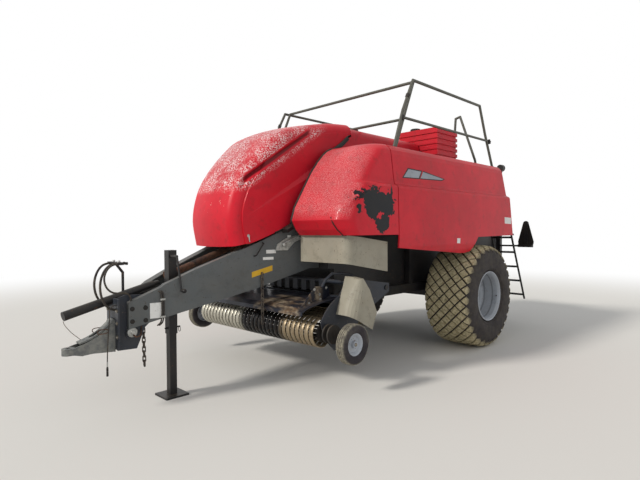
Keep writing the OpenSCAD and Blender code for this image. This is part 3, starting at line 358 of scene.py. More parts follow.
SLOT_MAT = {
    "red_paint": "red", "grey_paint": "grey", "pale_grey_paint": "pale", "dark_paint": "dark", "rim_paint": "silver",
    "tyre_rubber": "rubber", "hose_rubber": "hose", "bare_steel": "steel", "rusty_steel": "rust",
    "machine_iron": "iron"}
NODE_MAT = {
    "handrails": "rail", "nose_hood": "hood", "corner_panels": "corner", "hitch_clevis": "casting",
    "hitch_block": "plate", "pickup_frame": "plate", "windguard": "guard", "pickup_bands": "band",
    "pickup_reel": "iron"}
NODE_SLOT = {s["node"]: s["material_slot"] for s in frame["record"]["subparts"]}
for name, o in frame["nodes"].items():
    o.data.materials.clear()
    o.data.materials.append(M[NODE_MAT.get(name) or SLOT_MAT[NODE_SLOT[name]]])
# A table of slots by material, which the pieces added below do not use
MAT_SLOT = {mat: slot for slot, mat in SLOT_MAT.items()}
MAT_SLOT.update(black="dark_paint", zinc="bare_steel", band="bare_steel", chain="rusty_steel", white="grey_paint",
                yellow="grey_paint", tread="tyre_rubber", small_tread="tyre_rubber")

# The camera stands where the photograph was taken from
PHOTO_FOCAL_PX, PHOTO_WIDTH_PX = 478.43, 640
YAW, PITCH, ROLL = radians(224.743), radians(-1.117), radians(-.36)
EYE = (5.212, 4.606, 1.69)
look = Vector((cos(YAW) * cos(PITCH), sin(YAW) * cos(PITCH), sin(PITCH)))
side = Vector((sin(YAW), -cos(YAW), 0))
above = side.cross(look)
right = side * cos(ROLL) + above * sin(ROLL)
top = above * cos(ROLL) - side * sin(ROLL)
cam_data = bpy.data.cameras.new("camera")
cam_data.sensor_width = 36
cam_data.lens = PHOTO_FOCAL_PX / PHOTO_WIDTH_PX * cam_data.sensor_width
cam = place("camera", cam_data)
cam.matrix_world = Matrix(((right.x, top.x, -look.x, EYE[0]), (right.y, top.y, -look.y, EYE[1]),
    (right.z, top.z, -look.z, EYE[2]), (0, 0, 0, 1)))
bpy.context.scene.camera = cam
bpy.context.scene.view_settings.view_transform = "Standard"


# Lines in space
def smooth_line(pts, n):
    """Points between the given ones on a smooth curve through them."""
    out, m = [], len(pts)
    pts = [Vector(p) for p in pts]
    for i in range(m - 1):
        p0, p1, p2, p3 = pts[max(i - 1, 0)], pts[i], pts[i + 1], pts[min(i + 2, m - 1)]
        for k in range(n):
            t = k / n
            out.append(.5 * (2 * p1 + (p2 - p0) * t + (2 * p0 - 5 * p1 + 4 * p2 - p3) * t * t
                              + (3 * p1 - p0 - 3 * p2 + p3) * t * t * t))
    return out + [pts[-1]]


def travel(pts):
    """The length of a line of points up to each of them."""
    d = [0.0]
    for a, b in zip(pts, pts[1:]):
        d.append(d[-1] + (b - a).length)
    return d


def spot(pts, lengths, s):
    """The point at length s along a line, and the direction there."""
    k = max(i for i in range(len(pts) - 1) if lengths[i] <= s + 1e-9 or i == 0)
    f = (s - lengths[k]) / (lengths[k + 1] - lengths[k])
    return pts[k].lerp(pts[k + 1], f), (pts[k + 1] - pts[k]).normalized()


class Shape:
    """Gathers vertices and faces of one piece; points are in the frame, in metres."""

    def __init__(self):
        self.v, self.f = [], []

    def grid(self, rows, wrap=False, loop=False):
        """Quads between rows of points; wrap joins each row's ends, loop joins the last row to the first."""
        base, n, m = len(self.v), len(rows), len(rows[0])
        for r in rows:
            self.v += [tuple(p) for p in r]
        for j in range(n if loop else n - 1):
            for i in range(m if wrap else m - 1):
                a, b = base + j * m + i, base + j * m + (i + 1) % m
                c, d = base + (j + 1) % n * m + (i + 1) % m, base + (j + 1) % n * m + i
                self.f.append((a, b, c, d))
        return base

    def tube(self, pts, r, sides=12, radii=None, loop=False):
        """A round tube through points, closed at its ends or joined into a loop."""
        pts = [Vector(p) for p in pts]
        n = len(pts)
        if loop:
            t = [(pts[(i + 1) % n] - pts[i - 1]).normalized() for i in range(n)]
        else:
            t = [(pts[min(i + 1, n - 1)] - pts[max(i - 1, 0)]).normalized() for i in range(n)]
        u = t[0].orthogonal().normalized()
        rows = []
        for i in range(n):
            u = (u - t[i] * u.dot(t[i])).normalized()
            w = t[i].cross(u)
            q = radii[i] if radii else r
            rows.append([pts[i] + q * (cos(a) * u + sin(a) * w)
                         for a in turn(sides)])
        base = self.grid(rows, wrap=True, loop=loop)
        if not loop:
            self.f.append(tuple(base + k for k in range(sides))[::-1])
            self.f.append(tuple(base + (n - 1) * sides + k for k in range(sides)))
        return self

    def rod(self, p, q, r, sides, chamfer):
        """A round bar with chamfered ends."""
        d = (q - p).normalized() * chamfer
        return self.tube([p, p + d, q - d, q], r, sides, radii=[r - chamfer, r, r, r - chamfer])

    def lathe(self, profile, origin, axis=(0, 1, 0), sides=24, closed=False):
        """A profile of (radius, distance along the axis) turned about the axis."""
        axis = Vector(axis).normalized()
        u = axis.orthogonal().normalized() if abs(axis.y) < .99 else Vector((1, 0, 0))
        w = axis.cross(u)
        o = Vector(origin)
        rows = [[o + axis * h + r * (cos(a) * u + sin(a) * w)
                 for a in turn(sides)] for r, h in profile]
        self.grid(rows, wrap=True, loop=closed)
        return self

    def prism(self, outline, shift):
        """A flat outline of points carried along a vector."""
        n, base = len(outline), len(self.v)
        s = Vector(shift)
        self.v += [tuple(p) for p in outline] + [tuple(Vector(p) + s) for p in outline]
        self.f.append(tuple(base + k for k in range(n)))
        self.f.append(tuple(base + n + k for k in range(n))[::-1])
        self.f += [(base + k, base + n + k, base + n + (k + 1) % n, base + (k + 1) % n) for k in range(n)]
        return self

    def block(self, lo, hi):
        (a, b, c), (d, e, f) = lo, hi
        return self.prism([(a, b, c), (d, b, c), (d, e, c), (a, e, c)], (0, 0, f - c))

    def bolt(self, p, n, r=.012, h=.01):
        """A hexagon head on a washer at p, its axis along n."""
        p, n = Vector(p), Vector(n).normalized()
        self.tube([p, p + n * h * .25], r * 1.5, 14)
        self.tube([p, p + n * h, p + n * h * 1.15], r, 6, radii=[r, r, r * .8])
        return self

    def mirror(self):
        """Adds the copy on the machine's other side."""
        base = len(self.v)
        self.f += [tuple(base + i for i in reversed(f)) for f in list(self.f)]
        self.v += [(x, -y, z) for x, y, z in self.v]
        return self

    def make(self, name, mat, body="frame", slot=None, smooth=35, bevel=0.0, replaces=None):
        """Turns the shape into a piece that rides on a body, in place of a node if one is given."""
        mesh = bpy.data.meshes.new(name)
        mesh.from_pydata(self.v, [], self.f)
        bm = bmesh.new()
        bm.from_mesh(mesh)
        bmesh.ops.remove_doubles(bm, verts=bm.verts, dist=1e-6)
        bmesh.ops.recalc_face_normals(bm, faces=bm.faces)
        bm.to_mesh(mesh)
        bm.free()
        mesh.materials.append(M[mat])
        mesh.polygons.foreach_set("use_smooth", [True] * len(mesh.polygons))
        mesh.set_sharp_from_angle(angle=radians(smooth))
        o = place(name, mesh)
        if bevel:
            b = o.modifiers.new("edges", "BEVEL")
            b.width, b.segments, b.limit_method = bevel, 2, "ANGLE"
            b.angle_limit = radians(35)
            b.harden_normals = True
        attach(o, body)
        if replaces:
            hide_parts(replaces)
        return o


# Cords: the hoses and the cable at the hitch, on the routes that the CAD solids follow. A route is its distance to
# the left, and the X and Z of its points
ROUTES = {
    "hose_a": (-.082, [(4.758, 1.391), (4.817, 1.376), (4.862, 1.332), (4.892, 1.266), (4.903, 1.188), (4.892, 1.11),
        (4.862, 1.044), (4.817, 1.0), (4.768, .985)]),
    "hose_b": (.06, [(4.758, 1.391), (4.817, 1.374), (4.862, 1.327), (4.892, 1.257), (4.903, 1.173), (4.892, 1.089),
        (4.862, 1.018), (4.817, .971), (4.768, .955)]),
    "hose_c": (.118, [(4.758, 1.391), (4.81, 1.38), (4.85, 1.351), (4.877, 1.306), (4.887, 1.253), (4.877, 1.2),
        (4.85, 1.155), (4.81, 1.126), (4.762, 1.115), (4.72, 1.115), (4.689, 1.109), (4.663, 1.092), (4.646, 1.066),
        (4.64, 1.035)]),
    "cable": (.092, [(4.768, 1.0), (4.782, 1.0), (4.801, .996), (4.817, .985), (4.828, .969), (4.832, .95),
        (4.833, .925), (4.835, .885), (4.839, .825), (4.846, .74), (4.853, .64), (4.858, .54), (4.86, .44)]),
}
THICK = {"hose_a": .022, "hose_b": .022, "hose_c": .018, "cable": .01}
CORD_STEPS = 3


def cord_curve(node):
    """A cord as a curve of one open spline that replaces the node's tube, and its length."""
    y, route = ROUTES[node]
    pts = smooth_line([at(x, y, z) for x, z in route], CORD_STEPS)
    curve = bpy.data.curves.new(node + "_run", "CURVE")
    curve.dimensions = "3D"
    curve.bevel_depth = THICK[node] / 2
    curve.bevel_resolution = 4
    curve.use_fill_caps = True
    s = curve.splines.new("POLY")
    s.points.add(len(pts) - 1)
    for i, p in enumerate(pts):
        s.points[i].co = (p.x, p.y, p.z, 1)
    s.use_smooth = True
    curve.materials.append(M["hose"])
    o = place(node + "_run", curve)
    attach(o, "frame")
    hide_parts(node)
    return o, pts, travel(pts)[-1]


for node in ("hose_a", "hose_b", "hose_c"):
    o, pts, length = cord_curve(node)
PLUG_D, PLUG_LEN = .02, .09
o, pts, length = cord_curve("cable")
end = pts[-1]
plug = Shape().lathe([(0.0, 0.0), (.0062, -.001), (.0085, -.008), (PLUG_D / 2, -.02), (PLUG_D / 2, -.04),
    (.0088, -.042), (.0088, -.048), (PLUG_D / 2, -.05), (PLUG_D / 2, -.084), (.0088, -PLUG_LEN), (0.0, -PLUG_LEN)],
    end, (0, 0, 1)).make("cable_plug", "black")
sleeve = Shape().tube([pts[-2] + Vector((0, 0, .02)), end], .0068, 16).make("cable_sleeve", "zinc")


# Light and floor
def lamp(name, toward, strength, angle, colour=(1, 1, 1)):
    """A sun that shines from a direction, as wide as an angle in degrees."""
    d = bpy.data.lights.new(name, "SUN")
    d.energy = strength
    d.angle = radians(angle)
    d.color = colour
    o = place(name, d)
    o.rotation_mode = "QUATERNION"
    o.rotation_quaternion = Vector(toward).to_track_quat("Z", "Y")


lamp("key", (.82, -.22, .55), 2.3, 9, (1.0, .97, .92))
lamp("fill", (.35, .9, .45), .35, 60)

world = bpy.data.worlds.new("studio")
bpy.context.scene.world = world
world.use_nodes = True
sky = Nodes(world.node_tree)
soft = sky.t.nodes["Background"]
soft.inputs[0].default_value = (.93, .96, 1.0, 1)
soft.inputs[1].default_value = .5
white = sky.add("Background", {0: (1, 1, 1, 1), 1: 1.0})
path = sky.add("LightPath", {})
seen = 0.0
for kind in ("Is Camera Ray", "Is Glossy Ray", "Is Transmission Ray"):
    seen = sky.op("MAXIMUM", path[kind], seen)
pick = sky.add("MixShader", {0: seen, 1: soft.outputs[0], 2: white[0]})
sky.put(sky.t.nodes["World Output"].inputs[0], pick[0])

FLOOR_HALF = 40
floor_mesh = bpy.data.meshes.new("floor")
floor_mesh.from_pydata([(x * FLOOR_HALF, y * FLOOR_HALF, 0) for x, y in ((-1, -1), (1, -1), (1, 1), (-1, 1))], [],
    [(0, 1, 2, 3)])
floor = place("floor", floor_mesh)
fm = Mat("floor_pale", .9, specular=.1)
fm.colour(srgb(226, 223, 217))
far = fm.add("VectorMath", {0: fm.pos}, operation="LENGTH")["Value"]
glow = fm.add("Emission", {1: 1.0})
fade = fm.add("MixShader", {0: fm.step(far, 7.0, 16.0), 1: fm.b.outputs[0], 2: glow[0]})
fm.put(fm.t.nodes["Material Output"].inputs[0], fade[0])
floor_mesh.materials.append(fm.m)


# Main wheels: lugs, a carcass with two raised rings a side, wheel nuts, hub caps, valves and rings in the rim
# Half of a main tyre's section, from the middle of the tread to the bead: (distance out, radius)
CARCASS = [
    (0, .713), (.1, .712), (.2, .708), (.265, .699), (.3, .682), (.325, .655), (.34, .62), (.35, .57), (.354, .51),
    (.35, .45), (.335, .405), (.315, .378), (.297, .366), (.288, .352), (.284, .335)]
LUG_H, LUG_SHORT = .021, .8  # a lug's height, and its part of the distance between lugs
LUG_EDGE = .375  # how far out along the carcass the lugs reach
AROUND, LUG_PITCH = 30, .078  # lugs in one ring, and the distance between rings
half_line = smooth_line([Vector((y, r, 0)) for y, r in CARCASS], 4)
half_run = travel(half_line)


def on_tyre(s, a, h):
    """A point on the tyre at length s out from the middle, angle a, and height h above the carcass."""
    p, d = spot(half_line, half_run, min(abs(s), half_run[-1]))
    y, r = p.x - d.y * h, p.y + d.x * h
    return Vector((r * cos(a), y if s >= 0 else -y, r * sin(a)))


def lug_rise(s):
    """The part of a lug's height at length s out; it falls off towards the shoulder."""
    return clamp((LUG_EDGE + .035 - abs(s)) / .09, .35, 1.0)


def lug(shape, s0, a0, half_s, half_a, centre):
    """One diamond lug with a chamfered top, its corners on the tyre's curve."""
    corners = [(-1, 0), (-.5, .5), (0, 1), (.5, .5), (1, 0), (.5, -.5), (0, -1), (-.5, -.5)]
    rows = []
    for scale, h in ((1.04, -.003), (1.0, LUG_H - .005), (.9, LUG_H)):
        row = []
        for cs, ca in corners:
            s = clamp(s0 + cs * half_s * scale, -LUG_EDGE, LUG_EDGE)
            low = 1.0 if h < 0 else lug_rise(s)
            row.append(on_tyre(s, a0 + ca * half_a * scale, h * low) + centre)
        rows.append(row)
    base = shape.grid(rows, wrap=True)
    mid, top = len(shape.v), base + 16
    shape.v.append(tuple(on_tyre(s0, a0, LUG_H * lug_rise(s0)) + centre))
    shape.f += [(top + k, top + (k + 1) % 8, mid) for k in range(8)]


def main_tyre(name, y0, body, node):
    """A tyre as two pieces, its lugs and its carcass."""
    t = Shape()
    centre = at(0, y0, AXLE_Z)
    ring = [(p.y, p.x) for p in half_line]
    ring = [(r, -h) for r, h in reversed(ring[1:])] + ring
    for col in range(-4, 5):
        for a in turn(AROUND, col % 2 / 2):
            lug(t, col * LUG_PITCH, a, LUG_PITCH * LUG_SHORT, pi / AROUND * LUG_SHORT, centre)
    t.make(name, "tread", body, smooth=30, replaces=node)
    t = Shape()
    t.lathe(ring, centre, sides=132, closed=True)
    for s in (1, -1):
        for run, high in ((.47, .0006), (.6, .005)):
            t.grid([[on_tyre(s * (run + w), a, h) + centre for a in turn(96)]
                    for w, h in ((-.014, -.002), (-.008, high), (.008, high), (.014, -.002))], wrap=True)
    t.make(node + "_carcass", "rubber", body, smooth=30, replaces=node)


NUTS, NUT_R, DISC_FACE = 10, .138, .014
for hand, sign in SIDES:
    body = "wheel_" + hand
    main_tyre("tyre_%s_tread" % hand, sign * TRACK, body, "tyre_" + hand)
    nuts = Shape()
    for a in turn(NUTS, .5):
        p = at(NUT_R * cos(a), sign * (TRACK + DISC_FACE), AXLE_Z + NUT_R * sin(a))
        nuts.bolt(p, (0, sign, 0), .016, .018)
        nuts.rod(p, p + Vector((0, sign * .026, 0)), .009, 10, .002)
    nuts.make("wheel_nuts_" + hand, "steel", body)
    cap = Shape()
    cap.lathe([(0, .096), (.03, .095), (.052, .088), (.058, .078), (.06, .058), (0, .058)],
              at(0, sign * TRACK, AXLE_Z), (0, sign, 0), sides=40)
    for a in turn(8):
        cap.bolt(at(.083 * cos(a), sign * (TRACK + .06), AXLE_Z + .083 * sin(a)), (0, sign, 0), .009, .008)
    cap.make("hub_cap_" + hand, "silver", body)
    valve = Shape()
    q = at(-.322, sign * (TRACK + .272), .706)
    valve.tube([q, q + Vector((.022, sign * .004, .001)), q + Vector((.052, sign * .02, .003))], .0075, 10)
    for h in (.095, .215):
        valve.lathe([(.3295, h - .012), (.3205, h - .006), (.3195, h), (.3205, h + .006), (.3295, h + .012)],
                    at(0, sign * TRACK, AXLE_Z), (0, sign, 0), sides=72)
    valve.make("valve_" + hand, "black", body, slot="rim_paint")


# Gauge wheels beside the pickup: ribbed tyres and hub bolts
for hand, sign in SIDES:
    t = Shape()
    outer = [(GAUGE_RIM, .038), (.135, .057), (.165, GAUGE_HALF), (.19, .053), (.199, .046), (.208, .042), (.21, .031),
             (.21, .029), (.2025, .027), (.2025, .023), (.21, .021), (.21, .005), (.2025, .003)]
    section = outer + [(r, -h) for r, h in reversed(outer)]
    centre = at(GAUGE_C[0], sign * GAUGE_C[1], GAUGE_C[2])
    t.lathe(section, centre, sides=72, closed=True)
    t.make("gauge_tyre_%s_ribs" % hand, "small_tread", "gauge_wheel_" + hand, smooth=40,
           replaces="gauge_tyre_" + hand)
    g = Shape()
    for a in turn(5):
        g.bolt(centre + Vector((.06 * cos(a + .3), 0, .06 * sin(a + .3))), (0, sign, 0), .007, .007)
    g.lathe([(0, .052), (.014, .051), (.018, .046), (.018, .039), (0, .039)], centre, (0, sign, 0))
    g.make("gauge_bolts_" + hand, "steel", "gauge_wheel_" + hand)


# The nose hood, with the groove pressed along each side of its crown
SKIN = .008
CROWN = [
    (3.68, 1.52), (3.73, 1.8), (3.69, 2.06), (3.58, 2.3), (3.33, 2.6), (2.99, 2.87), (2.4, 3.03), (2.0, 3.07)]
EDGE = [(3.49, 1.555), (3.38, 1.59), (3.1, 1.7), (2.97, 1.77), (2.88, 1.98), (2.75, 2.16),
        (2.62, 2.38), (2.5, 2.54), (2.38, 2.64), (2.18, 2.77), (2.06, 2.87), (2.0, 2.905)]
GROOVE = [
    (3.56, 2.175), (3.502, 2.258), (3.436, 2.317), (3.276, 2.427), (3.119, 2.54), (2.871, 2.701), (2.617, 2.848)]
NOSE_ROUND, NOSE_CAMBER = .13, .025
LEDGE_TIP, LEDGE_UPPER, LEDGE_LOWER, LEDGE_DEPTH = (3.54, 1.84), (2.5, 2.51), (2.5, 2.43), .045
NOSE_ROWS = 150
GROOVE_RISE = 4.688  # the height that the groove would reach over the axle


class Line:
    """A line of points in the X-Z plane, read by a fraction of its length."""

    def __init__(self, points, n=1):
        self.p = smooth_line([Vector((x, z, 0)) for x, z in points], n)
        self.run = travel(self.p)

    def at(self, f):
        return spot(self.p, self.run, clamp(f, 0, 1) * self.run[-1])[0]

    def near(self, q):
        """Distance from q to the line, and the fraction of its length there."""
        best = (9.0, 0.0)
        for a, b, s in zip(self.p, self.p[1:], self.run):
            f = clamp((q - a).dot(b - a) / (b - a).length_squared, 0, 1)
            best = min(best, ((q - a.lerp(b, f)).length, (s + f * (b - a).length) / self.run[-1]))
        return best


crown, edge, groove = Line(CROWN, 6), Line(EDGE), Line(GROOVE, 4)


def nose_half(x):
    """Half the hood's width."""
    return .44 + (3.65 - x) * .1


def slope_z(a, b, x):
    """The height at x of the straight line through a and b."""
    return a[1] + (b[1] - a[1]) * (x - a[0]) / (b[0] - a[0])


def ledge_out(x, z):
    """How far a point of the hood's side stands out under the ledge."""
    if x > LEDGE_TIP[0]:
        return 0.0
    zu, zl = slope_z(LEDGE_TIP, LEDGE_UPPER, x), slope_z(LEDGE_TIP, LEDGE_LOWER, x)
    deep = LEDGE_DEPTH * clamp((LEDGE_TIP[0] - x) / 1.0, 0, 1)
    return deep * clamp((zu - z) / max(zu - zl, .001), 0, 1)


def hood_side(q):
    """How far out the hood's side stands at a point of the X-Z plane."""
    return nose_half(q.x) + ledge_out(q.x, q.y)


def meet(s, e, a, b):
    """The fraction of the way from s to e where the line through a and b is crossed."""
    n = Vector((a[1] - b[1], b[0] - a[0], 0))
    den = n.dot(e - s)
    return .5 if abs(den) < 1e-6 else n.dot(Vector((a[0], a[1], 0)) - s) / den


def pressed(x, z, angle):
    """Depth of the groove at a point of the side; it is deepest and narrowest at its front tip."""
    if abs(z + GROOVE_FALL * x - GROOVE_RISE) > .12:
        return 0.0
    d, f = groove.near(Vector((x, z, 0)))
    width = lerp(.036, .055, f)
    hollow = clamp(1 - d / width, 0, 1)
    return lerp(.04, .01, f) * hollow * hollow * (3 - 2 * hollow) * clamp((angle - 20) / 40, 0, 1)


def nose_row(f, t):
    """One row of points across the hood's left half; t is the depth below its outer skin."""
    p = crown.at(f)
    d = (crown.at(min(f + .04, 1)) - crown.at(max(f - .04, 0))).normalized()
    n = Vector((d.y, -d.x, 0))
    e = edge.at(f)
    s = p - n * (NOSE_CAMBER + NOSE_ROUND)
    w = nose_half(p.x)
    flat = w - NOSE_ROUND
    upper = clamp(meet(s, e, LEDGE_TIP, LEDGE_UPPER), .2, .75)
    lower = clamp(meet(s, e, LEDGE_TIP, LEDGE_LOWER), upper + .04, .9)
    out = []
    for k in range(8):
        q = p - n * (NOSE_CAMBER * (k / 8) ** 2 + t)
        out.append((q.x, flat * k / 8, q.y))
    for k in range(13):
        a = radians(k * 7.5)
        c, sn = cos(a), sin(a)
        q = p - n * (NOSE_CAMBER + NOSE_ROUND - (NOSE_ROUND - t) * c)
        deep = pressed(q.x, q.y, k * 7.5)
        q = q - n * (deep * c)
        out.append((q.x, flat + (NOSE_ROUND - t) * sn - deep * sn, q.y))
    for lo, hi, parts in ((0, upper, 34), (upper, lower, 3), (lower, 1, 6)):
        for k in range(1, parts + 1):
            q = s.lerp(e, lerp(lo, hi, k / parts))
            out.append((q.x, hood_side(q) - t - pressed(q.x, q.y, 90), q.y))
    return out


def both_halves(row):
    """The row with its copy on the right side ahead of it."""
    return [(x, -y, z) for x, y, z in reversed(row[1:])] + row


def skin(shape, outer, inner):
    """A sheet between two grids of points, closed round its edges."""
    a, b = shape.grid(outer), shape.grid(inner)
    n, m = len(outer), len(outer[0])
    rim = list(range(m)) + [j * m + m - 1 for j in range(1, n)] + [(n - 1) * m + i for i in range(m - 2, -1, -1)]
    rim += [j * m for j in range(n - 2, 0, -1)]
    shape.f += [(a + p, a + q, b + q, b + p) for p, q in zip(rim, rim[1:] + rim[:1])]
    return shape


def placed(rows):
    """Rows of points brought from the axle frame."""
    return [[at(*p) for p in row] for row in rows]


outer, inner = ([both_halves(nose_row(j / NOSE_ROWS, t)) for j in range(NOSE_ROWS + 1)] for t in (0, SKIN))
skin(Shape(), placed(outer), placed(inner)).make("nose_hood_skin", "hood", "nose_hood", smooth=14, replaces="nose_hood")

# Corner panels
SIDE_ROWS = [
    (1.375, 1.4), (1.43, 1.43), (1.5, 1.45), (1.6, 1.455), (2.17, 1.443), (2.192, 1.435), (2.215, 1.392),
    (2.235, 1.385), (2.56, 1.345), (2.61, 1.333), (2.645, 1.306), (2.665, 1.285), (2.672, 1.268)]
CORNER_ROWS = [
    (1.64, 2.95, .13), (1.7, 3.01, .15), (1.8, 3.07, .17), (1.95, 3.02, .19), (2.1, 2.925, .21), (2.17, 2.88, .22),
    (2.192, 2.865, .22), (2.215, 2.85, .225), (2.235, 2.838, .23), (2.35, 2.765, .25), (2.48, 2.66, .27),
    (2.58, 2.56, .28), (2.63, 2.495, .28), (2.66, 2.43, .255), (2.672, 2.36, .19)]
CORNER_IN, CORNER_REAR = .628, 2.162


def table(rows, z, i=1):
    """A value from a table of rows that start with a height."""
    for a, b in zip(rows, rows[1:]):
        if z <= b[0]:
            return lerp(a[i], b[i], clamp((z - a[0]) / (b[0] - a[0]), 0, 1))
    return rows[-1][i]


# A raised line on the side, which curves down towards the front
BROW = Line([(3.0, 1.9), (2.981, 1.938), (2.904, 2.01), (2.743, 2.088), (2.49, 2.165), (2.3, 2.188)], 4)


def brow_out(x, z):
    """How far the raised line stands out of the side."""
    d, f = BROW.near(Vector((x, z, 0)))
    ridge = clamp(1 - d / .034, 0, 1)
    return .015 * ridge * ridge * (3 - 2 * ridge) * clamp((1 - f) * 6, 0, 1)


def corner_row(z, t):
    """One level row round the left panel; t is the depth below its outer skin."""
    xf, rad, ys = table(CORNER_ROWS, z), table(CORNER_ROWS, z, 2), table(SIDE_ROWS, z)
    out = [(xf - .06, CORNER_IN + t, z), (xf - .02 - .7 * t, CORNER_IN + .02 + .3 * t, z)]
    out += [(xf - t, lerp(CORNER_IN + .07, ys - rad, k / 6), z) for k in range(7)]
    for k in range(1, 12):
        a = radians(k * 7.5)
        r = rad - t + brow_out(xf - rad + rad * cos(a), z) * sin(a)
        out.append((xf - rad + r * cos(a), ys - rad + r * sin(a), z))
    for k in range(31):
        x = lerp(xf - rad, CORNER_REAR, k / 30)
        out.append((x, ys - t + brow_out(x, z), z))
    return out


heights = []
for a, b in zip(CORNER_ROWS, CORNER_ROWS[1:]):
    parts = max(1, round((b[0] - a[0]) / .012))
    heights += [lerp(a[0], b[0], k / parts) for k in range(parts)]
heights.append(CORNER_ROWS[-1][0])
corners = skin(Shape(), *(placed([corner_row(z, t) for z in heights]) for t in (0, SKIN)))
corners.mirror().make("corner_skins", "corner", smooth=30, replaces="corner_panels")

# Black strips between the hood and the corner panels, as painted shade of the gap between them
gap_shade = Shape()
rows = []
for k in range(49):
    f = lerp(.2, .96, k / 48)
    q = edge.at(f)
    d = (edge.at(f + .01) - edge.at(f - .01)).normalized()
    n = Vector((d.y, -d.x, 0))
    y0 = hood_side(q) + .006
    y1 = max(CORNER_IN - .004, y0 + .012)
    rows.append([at(q.x + n.x * h, y, q.y + n.y * h) for y, h in (
        (y0, -.035), (y0, -.002), (lerp(y0, y1, .2), .01), (lerp(y0, y1, .5), .014), (lerp(y0, y1, .8), .01),
        (y1, -.002), (y1, -.035))])
base = gap_shade.grid(rows, wrap=True)
gap_shade.f += [tuple(base + k for k in range(7)), tuple(base + 48 * 7 + k for k in range(7))]
gap_shade.mirror().make("hood_gap_shade", "black", smooth=50)

# Chains of round-bar links
LINK_WIRE, LINK_WIDTH, LINK_REACH, LINK_PITCH = .006, .014, .018, .0463276
BEAM_SLOPE = tan(radians(11.1))
chains = Shape()
for x0, y0, z0, dx, count in ((4.5, .0655, .88, -.01 / .55, 11), (3.315, .4493, 1.225, 0.0, 12)):
    axis = Vector((dx, 0, -1)).normalized()
    for k in range(count):
        mid = at(x0, y0, z0) + axis * (k + .5) * LINK_PITCH
        wide = Vector((0, 1, 0)) if k % 2 == 0 else Vector((1, 0, dx))
        loop = []
        for end, start in ((1, -90), (-1, 90)):
            for j in range(7):
                a = radians(start + j * 30)
                loop.append(mid + axis * (end * LINK_REACH + LINK_WIDTH * cos(a)) + wide * (LINK_WIDTH * sin(a)))
        chains.tube(loop, LINK_WIRE, 8, loop=True)
chains.make("chain_links", "chain", smooth=60, replaces="chains")

# Black edging as painted shade of the gap between hood and corner panel: along the hood's side edge, and down the inner
# edge of each corner panel
rim_line = [edge.at(lerp(.16, .985, k / 56)) for k in range(57)]
edge_shade = Shape().tube([at(q.x, hood_side(q) + .001, q.y) for q in rim_line], .008, 10)
edge_shade.mirror().make("hood_edge_shade", "black", "nose_hood", smooth=60)
edge_shade = Shape().tube([at(table(CORNER_ROWS, z) - .036, CORNER_IN + .002, z) for z in heights[4:]], .02, 12)
edge_shade.mirror().make("corner_edge_shade", "black", smooth=60)

# Side doors: a grey stripe with black edges along the upper slope, and blank labels, all thin films
FILM_SUNK = .0004  # how deep a film starts under the face that it lies on
STRIPE = [[(1.955, 2.308), (1.84, 2.41), (1.57, 2.402), (1.64, 2.318)],
          [(1.6, 2.318), (1.53, 2.402), (1.06, 2.346), (1.12, 2.332)]]
STRIPE_EDGE = [[(1.985, 2.296), (1.85, 2.424), (1.545, 2.416), (1.62, 2.306)],
               [(1.612, 2.307), (1.522, 2.415), (1.02, 2.348), (1.11, 2.32)]]
LABELS = [[(-.61, 1.88), (-.84, 1.872), (-.84, 1.775), (-.61, 1.783)],
          [(.85, 1.58), (.77, 1.576), (.77, 1.51), (.85, 1.514)]]
FILMS = (("stripe_edge", "black", "red_paint", STRIPE_EDGE, .001), ("stripe", "stripe", None, STRIPE, .0018),
         ("label", "white", None, LABELS, .0014))
for hand, sign in SIDES:
    for name, mat, slot, outlines, thick in FILMS:
        s = Shape()
        for outline in outlines:
            s.prism([at(x, table(SIDE_ROWS, z) - FILM_SUNK, z) for x, z in outline], (0, thick, 0))
        s.v = [(x, sign * y, z) for x, y, z in s.v]
        s.make("door_%s_%s" % (name, hand), mat, "door_" + hand, slot)

# The drawbar's left beam, by its outer face at its front end, and the direction that the face looks in
BEAM_X, BEAM_Y, BEAM_OUT = 4.68, .16, (.19, .98, 0)


def on_beam(x, z, out=0.0):
    """A point at a distance from the beam's outer face."""
    return at(x, BEAM_Y + (BEAM_X - x) * BEAM_SLOPE + out, z)


# Hitch: bolts through the front plate and the beams, and the couplers on the hose rack with two caps between them
hitch, holes = Shape(), Shape()
for y in (-.105, .105):
    for z in (.948, .83, .701):
        hitch.bolt(at(4.77, y, z), (1, 0, 0), .013, .011)
for x in (4.65, 4.53):
    for z in (.96, .84):
        holes.bolt(on_beam(x, z), (.1925, .98, 0), .015, .006)
holes.mirror()
holes.make("beam_bolts", "black", smooth=25)
hitch.make("hitch_bolts", "steel", smooth=25)
rack = Shape()
for y in (-.082, .06, .118):
    rack.lathe([(0, 0), (.011, 0), (.013, .004), (.013, .016), (.01, .018), (.01, .03), (.014, .032), (.014, .05),
                (.009, .053), (0, .053)], at(4.7195, y, 1.391), (-1, 0, 0))
rack.make("couplers", "black", smooth=30)
caps = Shape()
for y, z in ((-.03, 1.4045), (.09, 1.4045)):
    caps.lathe([(0, 0), (.013, 0), (.015, .003), (.015, .014), (.012, .018), (0, .019)], at(4.74, y, z), (0, 0, 1))
caps.make("coupler_caps", "white", smooth=30)

# The clevis: a long slot's rim on each cheek
clevis = Shape()
for sign in (1, -1):
    rim = [at(4.885 + .03 * cos(a) + (.02 if cos(a) > 0 else -.02), sign * .0625, .765 + .02 * sin(a))
           for a in turn(28)]
    clevis.tube(rim, .004, 8, loop=True)
clevis.make("clevis_slots", "rust")

